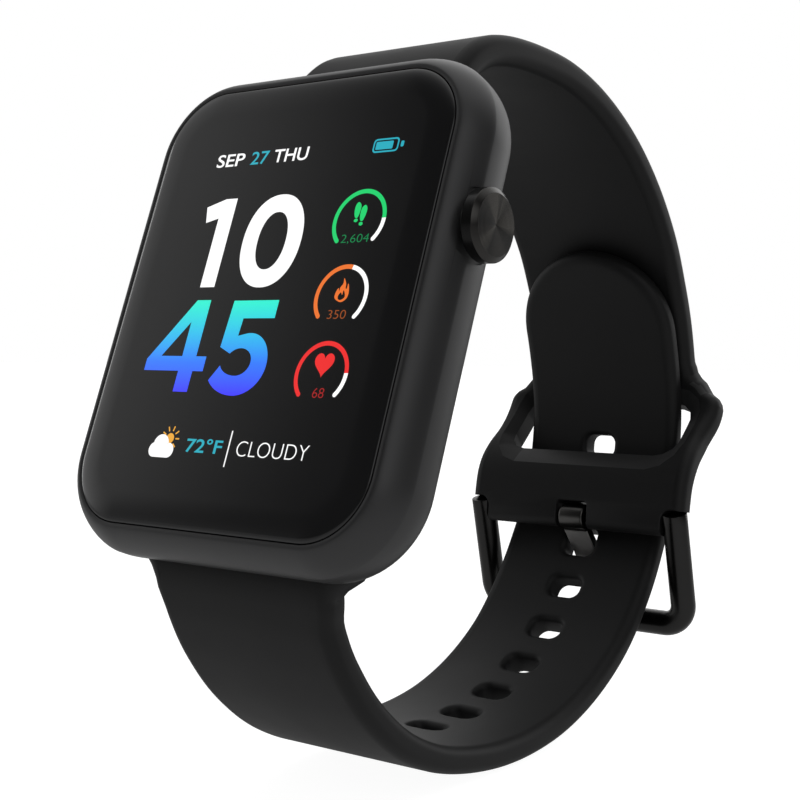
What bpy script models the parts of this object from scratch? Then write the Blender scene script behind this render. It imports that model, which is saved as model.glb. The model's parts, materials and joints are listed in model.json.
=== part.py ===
"""A rectangular smartwatch, its silicone strap buckled in a loop. Sizes are in millimetres until MM."""

from math import cos, pi, radians, sin

import bmesh
import bpy
from mathutils import Matrix, Vector

MM = 0.001

# Pose of the watch in its own stand-up frame: +X is the crown side and +Z is up.
LEAN = 20.0  # degrees that the face leans back
HUMP_DEPTH = 10.3  # from the glass rim back to the flat of the sensor lens, which is the origin

# Case, measured from the line between the glass and the case.
RIM_WIDTH, RIM_HEIGHT, RIM_CORNER = 33.9, 42.0, 6.15
RIM_LAND = 0.35  # flat land round the glass
BULGE = 2.13  # how far the side stands out beyond the rim line
WIDEST_DEPTH = 2.85
BACK_DEPTH = 8.3
BACK_CLOSE_DEPTH, BACK_CLOSE_INSET = 8.7, 5.0
FRONT_ROUNDNESS, BACK_ROUNDNESS = 1.4, 2.7
GLASS_GAP = 0.1
GLASS_TOP, GLASS_EDGE, GLASS_BOTTOM = 0.40, -0.02, -0.85
GLASS_CURVE = 1.8  # width of the rounded edge of the glass

# Straps.
BAR_REACH, BAR_DEPTH = 19.3, 7.5
LUG_HALF_WIDTH, LUG_RADIUS = 12.0, 1.6
UPPER_HALF_WIDTH, LOWER_HALF_WIDTH, TIP_HALF_WIDTH = 10.1, 9.8, 9.6
EAR_HALF_WIDTH, PLATE_HALF_WIDTH, PLATE_FOOT_HALF_WIDTH = 14.0, 13.4, 11.1
WINDOW_HALF_WIDTH, WINDOW_HALF_HEIGHT, WINDOW_CORNER = 10.9, 4.2, 3.4
HOLE_WIDTH, HOLE_LENGTH, HOLE_PITCH, HOLE_COUNT = 4.2, 3.4, 5.9, 9
STRAP_EDGE_RADIUS = 0.8

# Buckle.
PIN_Y, PIN_Z, PIN_RADIUS = 53.0, -23.4, 0.6
BAR_Y, BAR_Z, WIRE_RADIUS = 55.7, -34.9, 1.25
ARM_X = 12.86
TANG_WIDTH, TANG_THICKNESS, KNUCKLE_RADIUS = 3.1, 1.1, 1.5

# Crown.
CROWN_Y, CROWN_DEPTH = 7.4, 3.3
CROWN_RADIUS, CROWN_FACE_RADIUS, CROWN_FACE_X = 3.1, 2.8, 20.85
CROWN_BACK_X = 19.35

ROUND_STEPS = 24
PLACE_ROW = Matrix.Translation(
    Vector((0, -cos(radians(LEAN)), sin(radians(LEAN)))) * HUMP_DEPTH * MM
)
PLACE_WATCH = PLACE_ROW @ Matrix.Rotation(radians(90 - LEAN), 4, "X")

COLOURS = {
    "case_metal": ((0.060, 0.060, 0.064), 0.75, 0.42),
    "dark_glass": ((0.006, 0.006, 0.007), 0.0, 0.08),
    "display": ((0.015, 0.016, 0.020), 0.0, 0.25),
    "silicone": ((0.018, 0.018, 0.019), 0.0, 0.62),
    "seal_rubber": ((0.03, 0.03, 0.03), 0.0, 0.70),
    "black_steel": ((0.025, 0.025, 0.027), 1.0, 0.22),
    "crown_metal": ((0.040, 0.039, 0.038), 1.0, 0.30),
    "bright_steel": ((0.55, 0.55, 0.56), 1.0, 0.28),
    "board_green": ((0.020, 0.120, 0.060), 0.0, 0.50),
    "chip_black": ((0.020, 0.020, 0.022), 0.0, 0.45),
    "cell_silver": ((0.50, 0.51, 0.53), 0.4, 0.40),
    "back_plastic": ((0.022, 0.022, 0.024), 0.0, 0.35),
    "lens_dark": ((0.010, 0.010, 0.014), 0.0, 0.10),
    "contact_gold": ((0.75, 0.55, 0.22), 1.0, 0.25),
    "led_green": ((0.20, 0.65, 0.30), 0.0, 0.30),
    "sensor_red": ((0.12, 0.02, 0.02), 0.0, 0.30),
}


def clear_scene():
    for obj in list(bpy.data.objects):
        bpy.data.objects.remove(obj)


def new_collection(name, hidden):
    collection = bpy.data.collections.new(name)
    bpy.context.scene.collection.children.link(collection)
    collection.hide_render = hidden
    return collection


def new_materials():
    made = {}
    for name, (colour, metallic, roughness) in COLOURS.items():
        material = bpy.data.materials.new(name)
        material.use_nodes = True
        shader = material.node_tree.nodes["Principled BSDF"]
        shader.inputs["Base Color"].default_value = (*colour, 1)
        shader.inputs["Metallic"].default_value = metallic
        shader.inputs["Roughness"].default_value = roughness
        made[name] = material
    return made


clear_scene()
PARTS = new_collection("smartwatch", False)
CUTTERS = new_collection("smartwatch_cutters", True)
MATERIALS = new_materials()


def solid(name, rings, place, material=None, closed=False, origin=(0, 0, 0)):
    """A loft: each ring is joined to the next, and the ends are capped unless it closes on itself."""
    mesh = bpy.data.meshes.new(name)
    shape = bmesh.new()
    start = Vector(origin)
    rows = [[shape.verts.new((Vector(point) - start) * MM) for point in ring] for ring in rings]
    pairs = list(zip(rows, rows[1:]))
    if closed:
        pairs.append((rows[-1], rows[0]))
    for low, high in pairs:
        for i in range(len(low)):
            j = (i + 1) % len(low)
            shape.faces.new((low[i], low[j], high[j], high[i]))
    if not closed:
        shape.faces.new(rows[0][::-1])
        shape.faces.new(rows[-1])
    bmesh.ops.recalc_face_normals(shape, faces=shape.faces)
    shape.to_mesh(mesh)
    shape.free()
    obj = bpy.data.objects.new(name, mesh)
    obj.matrix_world = place @ Matrix.Translation(start * MM)
    if material:
        mesh.materials.append(MATERIALS[material])
        PARTS.objects.link(obj)
    else:
        obj.hide_render = True
        obj.display_type = "WIRE"
        CUTTERS.objects.link(obj)
    return obj


def cut(target, *cutters, operation="DIFFERENCE"):
    for cutter in cutters:
        modifier = target.modifiers.new(cutter.name, "BOOLEAN")
        modifier.operation = operation
        modifier.solver = "EXACT"
        modifier.object = cutter


def outline(half_width, half_height, corner, z, steps=7, centre=(0, 0)):
    """Points of a rounded rectangle at the height z."""
    corner = min(corner, half_width, half_height)
    points = []
    signs = ((1, 1), (-1, 1), (-1, -1), (1, -1))
    for quarter, (sx, sy) in enumerate(signs):
        for step in range(steps + 1):
            angle = (quarter + step / steps) * pi / 2
            x = sx * (half_width - corner) + corner * cos(angle)
            y = sy * (half_height - corner) + corner * sin(angle)
            points.append((centre[0] + x, centre[1] + y, z))
    return points


def rim(offset, z, steps=7):
    """The line between glass and case, moved outwards by an offset."""
    return outline(RIM_WIDTH / 2 + offset, RIM_HEIGHT / 2 + offset, RIM_CORNER + offset, z, steps)


def slab(name, half_width, half_height, corner, low, high, material=None, centre=(0, 0), steps=4):
    rings = [outline(half_width, half_height, corner, z, steps, centre) for z in (low, high)]
    return solid(name, rings, PLACE_WATCH, material)


def band(name, outer, inner, low, high, material):
    """A flat ring between two rim offsets."""
    rings = [rim(outer, low, 5), rim(outer, high, 5), rim(inner, high, 5), rim(inner, low, 5)]
    return solid(name, rings, PLACE_WATCH, material, closed=True)


def circle(radius, along, axis, centre, steps=ROUND_STEPS):
    """A ring of points round an axis, at a distance along it from the centre."""
    points = []
    for step in range(steps):
        angle = 2 * pi * (step + 0.5) / steps
        a, b = radius * cos(angle), radius * sin(angle)
        offset = {"X": (along, a, b), "Y": (b, along, a), "Z": (a, b, along)}[axis]
        points.append(tuple(centre[i] + offset[i] for i in range(3)))
    return points


def turned(name, profile, axis, centre, place, material=None, closed=False, steps=ROUND_STEPS):
    """A body turned round an axis from (distance along, radius) pairs; its origin lies on that axis."""
    rings = [circle(radius, along, axis, centre, steps) for along, radius in profile]
    return solid(name, rings, place, material, closed, origin=centre)


def rod(name, radius, low, high, axis, centre, place, material=None, steps=ROUND_STEPS):
    return turned(name, [(low, radius), (high, radius)], axis, centre, place, material, steps=steps)


def tube(name, outer, inner, low, high, axis, centre, place, material, steps=ROUND_STEPS):
    profile = [(low, outer), (high, outer), (high, inner), (low, inner)]
    return turned(name, profile, axis, centre, place, material, closed=True, steps=steps)


def coil(name, radius, wire, low, high, turns, centre, place, material):
    """A compression spring along X with plain ends."""
    per_turn, sides = 10, 6
    rings = []
    for step in range(per_turn * turns + 1):
        part = step / (per_turn * turns)
        angle = 2 * pi * turns * part
        along = low + wire + (high - low - 2 * wire) * part
        ring = []
        for side in range(sides):
            around = 2 * pi * side / sides
            reach = radius + wire * cos(around)
            ring.append(
                (
                    centre[0] + along + wire * sin(around),
                    centre[1] + reach * cos(angle),
                    centre[2] + reach * sin(angle),
                )
            )
        rings.append(ring)
    return solid(name, rings, place, material)


def box(name, low, high, place, tilt=0.0, material=None):
    """A cuboid between two corners, tilted about X round its own centre."""
    centre = (Vector(low) + Vector(high)) / 2
    turn = Matrix.Rotation(radians(tilt), 3, "X")
    rings = []
    for z in (low[2], high[2]):
        corners = ((low[0], low[1], z), (high[0], low[1], z), (high[0], high[1], z), (low[0], high[1], z))
        rings.append([centre + turn @ (Vector(corner) - centre) for corner in corners])
    return solid(name, rings, place, material)


def smooth_path(knots, spacing):
    """A Catmull-Rom curve through (y, z) knots, as evenly spaced points."""
    knots = [Vector(knot) for knot in knots]
    ends = [2 * knots[0] - knots[1], *knots, 2 * knots[-1] - knots[-2]]
    dense = []
    for a, b, c, d in zip(ends, ends[1:], ends[2:], ends[3:]):
        for step in range(20):
            t = step / 20
            square = 2 * a - 5 * b + 4 * c - d
            cube = 3 * b - a - 3 * c + d
            dense.append(0.5 * (2 * b + (c - a) * t + square * t**2 + cube * t**3))
    dense.append(knots[-1])
    lengths = [0.0]
    for first, second in zip(dense, dense[1:]):
        lengths.append(lengths[-1] + (second - first).length)
    count = max(2, round(lengths[-1] / spacing))
    return [point_at(dense, lengths, lengths[-1] * i / count) for i in range(count + 1)]


def point_at(points, lengths, wanted):
    for i in range(1, len(points)):
        if lengths[i] >= wanted - 1e-9:
            part = (wanted - lengths[i - 1]) / (lengths[i] - lengths[i - 1])
            return points[i - 1].lerp(points[i], part)
    return points[-1]


def blend(table, value):
    """Straight-line interpolation in (position, value) pairs."""
    if value <= table[0][0]:
        return table[0][1]
    for (p0, v0), (p1, v1) in zip(table, table[1:]):
        if value <= p1:
            return v0 + (v1 - v0) * (value - p0) / (p1 - p0)
    return table[-1][1]


def directions(path):
    """The direction of travel at each point of a (y, z) path."""
    found = []
    for i in range(len(path)):
        ahead = path[min(i + 1, len(path) - 1)] - path[max(i - 1, 0)]
        ahead.normalize()
        found.append(ahead)
    return found


def strap(name, knots, widths, thicknesses, outward, rounded_end):
    """A strip swept along a (y, z) path through the middle of its thickness."""
    path = smooth_path(knots, 2.4)
    total = len(path) - 1
    rings = []
    for i, ahead in enumerate(directions(path)):
        place = i / total
        normal = Vector((-ahead.y, ahead.x)) * outward
        half = blend(widths, place)
        thick = blend(thicknesses, place) / 2
        rings.append(strip_ring(path[i], normal, half, thick))
    if rounded_end:
        rings = rings[:-5] + tip_rings(path, directions(path), outward, thicknesses[-1][1] / 2)
    return solid(name, rings, PLACE_ROW, "silicone")


def strip_ring(point, normal, half, thick):
    edge = min(STRAP_EDGE_RADIUS, thick * 0.9, half * 0.5)
    ring = []
    for quarter, (sx, sn) in enumerate(((1, 1), (-1, 1), (-1, -1), (1, -1))):
        for step in range(3):
            angle = (quarter + step / 2) * pi / 2
            x = sx * (half - edge) + edge * cos(angle)
            out = sn * (thick - edge) + edge * sin(angle)
            ring.append((x, point.x + normal.x * out, point.y + normal.y * out))
    return ring


def tip_rings(path, aheads, outward, thick):
    """The rounded end: rings that narrow along a semicircle over the last four steps."""
    rings = []
    start, end = path[-5], path[-1]
    for step in range(9):
        part = sin(step / 8 * pi / 2) * 0.995
        index = min(3, int(part * 4))
        point = path[-5 + index].lerp(path[-4 + index], part * 4 - index)
        ahead = aheads[-5 + index].lerp(aheads[-4 + index], part * 4 - index)
        normal = Vector((-ahead.y, ahead.x)).normalized() * outward
        half = max(0.8, TIP_HALF_WIDTH * (1 - part**2) ** 0.5)
        rings.append(strip_ring(point, normal, half, thick))
    return rings


def bar_centre(side):
    """The spring bar's middle in the watch frame; side is +1 at 12 o'clock and -1 at 6 o'clock."""
    return (0, side * BAR_REACH, -BAR_DEPTH)


def case_profile():
    """(offset from the rim line, z) pairs down the case's side."""
    points = [(RIM_LAND, 0.0)]
    for step in range(1, 8):
        angle = step / 8 * pi / 2
        out = sin(angle) ** (2 / FRONT_ROUNDNESS)
        down = 1 - cos(angle) ** (2 / FRONT_ROUNDNESS)
        points.append((RIM_LAND + (BULGE - RIM_LAND) * out, -WIDEST_DEPTH * down))
    points.append((BULGE, -WIDEST_DEPTH))
    depth = BACK_CLOSE_DEPTH - WIDEST_DEPTH
    for step in range(1, 12):
        angle = step / 12 * pi / 2
        z = -WIDEST_DEPTH - depth * sin(angle) ** (2 / BACK_ROUNDNESS)
        if z > -BACK_DEPTH + 0.1:
            offset = (BULGE + BACK_CLOSE_INSET) * cos(angle) ** (2 / BACK_ROUNDNESS) - BACK_CLOSE_INSET
            points.append((offset, z))
    across = 1 - ((BACK_DEPTH - WIDEST_DEPTH) / depth) ** BACK_ROUNDNESS
    last = (BULGE + BACK_CLOSE_INSET) * across ** (1 / BACK_ROUNDNESS) - BACK_CLOSE_INSET
    points.append((last, -BACK_DEPTH))
    return points


SCREW_SPOTS = [(sx * 11.4, sy * 14.0) for sx in (-1, 1) for sy in (-1, 1)]
CROWN_CENTRE = (0, CROWN_Y, -CROWN_DEPTH)
MOTOR_SPOT = (-7.2, -10.2)


def build_case():
    case = solid("case_body", [rim(offset, z) for offset, z in case_profile()], PLACE_WATCH, "case_metal")
    glass_seat = solid("cut_glass_seat", [rim(GLASS_GAP, z) for z in (1, -1.4)], PLACE_WATCH)
    upper = slab("cut_upper_cavity", 15.2, 19.3, 4.4, -4.6, -1.2)
    lower = slab("cut_lower_cavity", 12.8, 15.2, 3.0, -7.8, -4.4)
    cover_seat = slab("cut_cover_seat", 13.7, 16.3, 4.0, -9.0, -7.35)
    cut(case, glass_seat, upper, lower, cover_seat)
    for side, tag in ((1, "top"), (-1, "bottom")):
        _, y, z = bar_centre(side)
        low_y, high_y = sorted((side * 17.3, side * 25))
        recess = box(f"cut_{tag}_recess", (-12.35, low_y, -12), (12.35, high_y, z + 1.75), PLACE_WATCH)
        pin_bore = rod(f"cut_{tag}_pins", 0.52, -13.6, 13.6, "X", (0, y, z), PLACE_WATCH, steps=12)
        cut(case, recess, pin_bore)
    crown_bore = rod("cut_crown_bore", 1.5, 13, 19, "X", CROWN_CENTRE, PLACE_WATCH)
    crown_pocket = rod("cut_crown_pocket", 3.3, 18.65, 22, "X", CROWN_CENTRE, PLACE_WATCH)
    cut(case, crown_bore, crown_pocket)
    for i, (x, y) in enumerate(SCREW_SPOTS):
        cut(case, rod(f"cut_case_thread_{i}", 0.5, -8, -5.6, "Z", (x, y, 0), PLACE_WATCH, steps=12))


def build_front():
    edge = [(-GLASS_GAP, GLASS_BOTTOM), (-GLASS_GAP, GLASS_EDGE)]
    for step in range(1, 7):
        angle = step / 6 * pi / 2
        rise = (GLASS_TOP - GLASS_EDGE) * sin(angle)
        edge.append((-GLASS_GAP - GLASS_CURVE * (1 - cos(angle)), GLASS_EDGE + rise))
    solid("cover_glass", [rim(offset, z) for offset, z in edge], PLACE_WATCH, "dark_glass")
    band("glass_gasket", -0.15, -1.45, -1.3, -0.97, "seal_rubber")
    panel = [rim(-2.1, z, 5) for z in (-1.95, -1.0)]
    solid("display_panel", panel, PLACE_WATCH, "display")
    frame = slab("inner_frame", 14.9, 19.0, 4.8, -2.75, -2.3, "bright_steel")
    cut(frame, slab("cut_frame_window", 6.5, 4.5, 1.0, -3.5, -1.5, centre=(0, 9.5)))
    cut(frame, slab("cut_frame_crown", 2.4, 2.2, 0.4, -3.5, -1.5, centre=(15.0, CROWN_Y)))
    cut(frame, slab("cut_frame_slot", 6.5, 4.5, 1.0, -3.5, -1.5, centre=(0, -9.5)))


def build_electronics():
    board = slab("main_board", 14.6, 18.6, 4.5, -4.45, -3.95, "board_green")
    cut(board, slab("cut_board_crown", 2.4, 2.2, 0.4, -5.2, -3.2, centre=(15.0, CROWN_Y)))
    slab("processor_can", 5.6, 4.6, 0.5, -3.8, -3.0, "bright_steel", centre=(-5.5, 9.6))
    slab("memory_chip", 3.2, 2.4, 0.3, -3.8, -3.15, "chip_black", centre=(4.4, 1.8))
    slab("radio_chip", 2.4, 2.4, 0.3, -3.8, -3.15, "chip_black", centre=(5.5, -11.5))
    rings = [outline(9.6, 8.2, 1.6, z, 4, (0, 5.8)) for z in (-6.9, -5.1)]
    rings.insert(0, outline(9.2, 7.8, 1.4, -7.2, 4, (0, 5.8)))
    rings.append(outline(9.2, 7.8, 1.4, -4.75, 4, (0, 5.8)))
    solid("battery_cell", rings, PLACE_WATCH, "cell_silver")
    slab("speaker_module", 5.0, 3.6, 0.8, -7.0, -4.75, "chip_black", centre=(5.6, MOTOR_SPOT[1]))
    can = [(-4.75, 4.0), (-7.2, 4.0), (-7.2, 3.7), (-5.05, 3.7), (-5.05, 0.45), (-6.9, 0.4)]
    turned("motor_can", can, "Z", (*MOTOR_SPOT, 0), PLACE_WATCH, "bright_steel")
    rotor = []
    for z in (-6.7, -5.35):
        arc = [(radius_x(3.4, a), radius_y(3.4, a), z) for a in range(-80, 81, 16)]
        hub = [(radius_x(0.52, a), radius_y(0.52, a), z) for a in range(80, -81, -32)]
        rotor.append([(MOTOR_SPOT[0] + x, MOTOR_SPOT[1] + y, z) for x, y, z in arc])
        rotor[-1] += [(MOTOR_SPOT[0] + x, MOTOR_SPOT[1] + y, z) for x, y, z in hub]
    solid("motor_weight", rotor, PLACE_WATCH, "bright_steel", origin=(*MOTOR_SPOT, 0))
    slab("crown_switch", 1.35, 1.9, 0.3, -3.8, -2.9, "chip_black", centre=(11.4, CROWN_Y))


def radius_x(radius, degrees_round):
    return radius * cos(radians(degrees_round))


def radius_y(radius, degrees_round):
    return radius * sin(radians(degrees_round))


def build_back():
    cover = slab("back_cover", 13.5, 16.1, 3.8, -8.5, -7.65, "back_plastic", steps=5)
    hump = turned(
        "join_hump", [(-9.55, 10.6), (-9.2, 11.4), (-8.2, 12.1)], "Z", (0, 0, 0), PLACE_WATCH, steps=32
    )
    cut(cover, hump, operation="UNION")
    hollow = turned("cut_hollow", [(-7, 9.6), (-8.75, 9.6)], "Z", (0, 0, 0), PLACE_WATCH, steps=32)
    mouth = rod("cut_mouth", 6.7, -11, -8, "Z", (0, 0, 0), PLACE_WATCH, steps=32)
    cut(cover, hollow, mouth)
    for i, (x, y) in enumerate(SCREW_SPOTS):
        cut(cover, rod(f"cut_cover_hole_{i}", 0.62, -9, -7, "Z", (x, y, 0), PLACE_WATCH, steps=12))
        cut(cover, rod(f"cut_cover_sink_{i}", 1.15, -9, -8.05, "Z", (x, y, 0), PLACE_WATCH, steps=16))
        profile = [(-8.45, 1.0), (-8.1, 1.0), (-8.1, 0.42), (-5.9, 0.42)]
        screw = turned(f"back_screw_{i + 1}", profile, "Z", (x, y, 0), PLACE_WATCH, "bright_steel", steps=16)
        cut(screw, box(f"cut_slot_{i}a", (x - 0.6, y - 0.12, -9), (x + 0.6, y + 0.12, -8.25), PLACE_WATCH))
        cut(screw, box(f"cut_slot_{i}b", (x - 0.12, y - 0.6, -9), (x + 0.12, y + 0.6, -8.25), PLACE_WATCH))
    for side, tag in ((-1, "a"), (1, "b")):
        spot = (side * 2.6, -8.6, 0)
        cut(cover, rod(f"cut_contact_{tag}", 0.95, -11, -8, "Z", spot, PLACE_WATCH, steps=16))
        pin = [(-9.7, 0.75), (-9.55, 0.85), (-8.45, 0.85)]
        turned(f"charge_contact_{tag}", pin, "Z", spot, PLACE_WATCH, "contact_gold", steps=16)
    rings = []
    for half_w, half_h, corner, z in (
        (13.4, 16.0, 3.7, -7.4),
        (13.4, 16.0, 3.7, -7.6),
        (12.95, 15.55, 3.2, -7.6),
        (12.95, 15.55, 3.2, -7.4),
    ):
        rings.append(outline(half_w, half_h, corner, z, 5))
    solid("back_seal", rings, PLACE_WATCH, "seal_rubber", closed=True)


def build_sensor():
    dome = [(-8.95, 6.6), (-9.6, 6.6)]
    for step in range(1, 6):
        angle = step / 5 * pi / 2
        dome.append((-9.6 - (HUMP_DEPTH - 9.6) * sin(angle), 6.6 - 2.6 * (1 - cos(angle))))
    turned("sensor_lens", dome, "Z", (0, 0, 0), PLACE_WATCH, "lens_dark", steps=32)
    rod("sensor_board", 9.2, -8.05, -7.55, "Z", (0, 0, 0), PLACE_WATCH, "board_green", steps=32)
    slab("green_led_a", 0.7, 0.7, 0.1, -8.65, -8.2, "led_green", centre=(-2.8, 0), steps=1)
    slab("green_led_b", 0.7, 0.7, 0.1, -8.65, -8.2, "led_green", centre=(2.8, 0), steps=1)
    slab("photodiode", 1.2, 1.2, 0.1, -8.65, -8.2, "sensor_red", steps=1)


def build_crown():
    centre = CROWN_CENTRE
    cap = [
        (CROWN_FACE_X, CROWN_FACE_RADIUS),
        (CROWN_FACE_X - 0.28, CROWN_RADIUS),
        (CROWN_BACK_X + 0.15, CROWN_RADIUS),
        (CROWN_BACK_X, CROWN_RADIUS - 0.15),
    ]
    crown = turned("crown_cap", cap, "X", centre, PLACE_WATCH, "crown_metal", steps=40)
    cut(crown, rod("cut_cap_recess", 1.5, 18, 20.2, "X", centre, PLACE_WATCH))
    cut(crown, rod("cut_cap_socket", 0.83, 18, 20.5, "X", centre, PLACE_WATCH))
    stem = [
        (20.45, 0.75), (17.45, 0.75), (17.45, 0.46), (17.0, 0.46),
        (17.0, 0.75), (14.2, 0.75), (14.2, 0.5), (13.75, 0.5), (13.75, 0.75), (13.4, 0.75),
    ]
    turned("crown_stem", stem, "X", centre, PLACE_WATCH, "bright_steel", steps=20)
    ring = [(17.225 + 0.16 * cos(a), 0.67 + 0.16 * sin(a)) for a in (i * pi / 4 for i in range(8))]
    turned("crown_o_ring", ring, "X", centre, PLACE_WATCH, "seal_rubber", closed=True, steps=20)
    tube("crown_bush", 1.42, 0.86, 15.0, 18.5, "X", centre, PLACE_WATCH, "bright_steel", steps=20)
    tube("crown_clip", 1.15, 0.58, 13.82, 14.13, "X", centre, PLACE_WATCH, "black_steel", steps=20)
    coil("crown_spring", 1.16, 0.12, 18.55, 20.15, 3, centre, PLACE_WATCH, "bright_steel")


def build_bars():
    for side, tag in ((1, "upper"), (-1, "lower")):
        centre = bar_centre(side)
        name = f"{tag}_bar_tube"
        sleeve = tube(name, 0.9, 0.62, -11.6, 11.6, "X", centre, PLACE_WATCH, "bright_steel", 16)
        slot_low = (5.2, centre[1] - 0.55, centre[2] - 1.5)
        slot_high = (7.75, centre[1] + 0.55, centre[2])
        cut(sleeve, box(f"cut_{tag}_slot", slot_low, slot_high, PLACE_WATCH))
        fixed = [(-13.2, 0.38), (-11.7, 0.38), (-11.7, 0.55), (-9.0, 0.55)]
        turned(f"{tag}_bar_end", fixed, "X", centre, PLACE_WATCH, "bright_steel", steps=16)
        sliding = [(13.2, 0.38), (11.7, 0.38), (11.7, 0.55), (5.0, 0.55)]
        pin = turned(f"{tag}_release_pin", sliding, "X", centre, PLACE_WATCH, "bright_steel", steps=16)
        knob_at = (7.1, centre[1], centre[2])
        knob = [(-0.2, 0.42), (-2.1, 0.42), (-2.1, 0.6), (-2.6, 0.6)]
        cut(
            pin,
            turned(f"join_{tag}_knob", knob, "Z", knob_at, PLACE_WATCH, steps=12),
            operation="UNION",
        )
        coil(f"{tag}_bar_spring", 0.42, 0.08, -8.9, 4.9, 6, centre, PLACE_WATCH, "bright_steel")


UPPER_KNOTS = [
    (13.65, 15.57), (14.85, 18.35), (17.3, 21.4), (20.3, 23.3), (24.2, 24.1), (29.5, 23.9),
    (35.5, 22.8), (41.5, 20.6), (47.3, 17.4), (52.4, 13.2), (56.5, 8.2), (59.1, 3.2), (60.7, -0.9),
    (61.7, -5.2), (61.95, -8.6), (60.75, -11.8), (58.0, -14.6), (55.6, -16.6), (54.1, -18.7),
    (53.4, -21.5), (53.05, -24.65),
]
LOWER_KNOTS = [
    (0.45, -20.7), (-0.3, -22.6), (-0.9, -24.4), (-0.95, -26.2), (-0.55, -28.3), (1.2, -31.5),
    (4.7, -35.5), (9.0, -38.9), (13.8, -41.3), (18.9, -42.7), (24.8, -43.2), (30.8, -42.9),
    (36.6, -41.7), (42.2, -39.4), (47.4, -36.0), (51.7, -31.6), (55.1, -26.9), (58.0, -21.0),
    (59.25, -15.2), (59.35, -10.0), (58.2, -4.0), (56.2, 2.0), (53.9, 7.0),
]


def build_straps():
    upper_widths = [
        (0.0, LUG_HALF_WIDTH), (0.03, LUG_HALF_WIDTH), (0.07, 10.7), (0.10, UPPER_HALF_WIDTH),
        (0.72, UPPER_HALF_WIDTH), (0.755, 10.5), (0.785, 11.8), (0.81, 13.4), (0.83, EAR_HALF_WIDTH),
        (0.88, EAR_HALF_WIDTH), (0.93, PLATE_HALF_WIDTH), (1.0, PLATE_HALF_WIDTH),
    ]
    upper_thick = [(0.0, 3.2), (0.08, 3.1), (0.2, 3.0), (0.7, 2.9), (0.9, 3.0), (0.94, 3.1), (1.0, 2.8)]
    upper = strap("buckle_strap", UPPER_KNOTS, upper_widths, upper_thick, 1, False)
    lower_widths = [
        (0.0, LUG_HALF_WIDTH), (0.02, LUG_HALF_WIDTH), (0.05, 10.4), (0.08, LOWER_HALF_WIDTH),
        (0.60, LOWER_HALF_WIDTH), (0.80, TIP_HALF_WIDTH), (1.0, TIP_HALF_WIDTH),
    ]
    lower_thick = [(0.0, 3.2), (0.04, 3.1), (0.10, 3.0), (0.65, 2.9), (0.74, 2.5), (1.0, 2.4)]
    lower = strap("hole_strap", LOWER_KNOTS, lower_widths, lower_thick, -1, True)
    for body, side, tag in ((upper, 1, "upper"), (lower, -1, "lower")):
        centre = bar_centre(side)
        barrel = rod(f"join_{tag}_lug", LUG_RADIUS, -12.0, 12.0, "X", centre, PLACE_WATCH)
        cut(body, barrel, operation="UNION")
        bore = rod(f"cut_{tag}_lug_bore", 1.0, -13, 13, "X", centre, PLACE_WATCH)
        slot_low = (5.3, centre[1] - 0.75, centre[2] - 3)
        slot_high = (7.8, centre[1] + 0.75, centre[2])
        cut(body, bore, box(f"cut_{tag}_lug_slot", slot_low, slot_high, PLACE_WATCH))
    cut_buckle_plate(upper)
    cut_strap_holes(lower)


def cut_buckle_plate(upper):
    half = WINDOW_HALF_WIDTH
    window = [outline(half, WINDOW_HALF_HEIGHT, WINDOW_CORNER, z, 5) for z in (-6, 8)]
    window_body = solid("cut_window", window, PLACE_ROW)
    turn = Matrix.Rotation(radians(-70), 4, "X")
    window_body.matrix_world = PLACE_ROW @ Matrix.Translation(Vector((0, 59.2, -12.6)) * MM) @ turn
    cut(upper, window_body)
    for sx in (-1, 1):
        low_x, high_x = sorted((sx * PLATE_FOOT_HALF_WIDTH, sx * 15))
        notch = box(f"cut_notch_{sx + 1}", (low_x, 49, -27), (high_x, 58, -21.45), PLACE_ROW)
        cut(upper, notch)
    cut(upper, box("cut_tang_notch", (-2.0, 49, -27), (2.0, 58, -21.2), PLACE_ROW))
    pin = (0, PIN_Y, PIN_Z)
    cut(upper, rod("cut_pin_bore", PIN_RADIUS + 0.08, -14, 14, "X", pin, PLACE_ROW))


def cut_strap_holes(lower):
    path = smooth_path(LOWER_KNOTS, 0.1)
    aheads = directions(path)
    nearest = min(range(len(path)), key=lambda i: (path[i] - Vector((55.1, -26.9))).length)
    step = round(HOLE_PITCH / 0.1)
    for k in range(HOLE_COUNT):
        index = nearest + (2 - k) * step
        ahead = aheads[index]
        tilt = Vector((0, 1)).angle_signed(ahead)
        rings = [outline(HOLE_WIDTH / 2, HOLE_LENGTH / 2, 0.9, z, 3) for z in (-3, 3)]
        hole = solid(f"cut_hole_{k}", rings, PLACE_ROW)
        frame = Matrix.Rotation(pi / 2 - tilt, 4, "X")
        spot = Vector((0, path[index].x, path[index].y)) * MM
        hole.matrix_world = PLACE_ROW @ Matrix.Translation(spot) @ frame
        cut(lower, hole)


def round_section(centre, ahead, radius, sides):
    """A circle square to a direction that lies in the X and arm plane."""
    across = ahead.cross(Vector((0, BAR_Z - PIN_Z, PIN_Y - BAR_Y)).normalized()).normalized()
    normal = across.cross(ahead).normalized()
    ring = []
    for side in range(sides):
        angle = 2 * pi * side / sides
        ring.append(centre + radius * (across * cos(angle) + normal * sin(angle)))
    return ring


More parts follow.
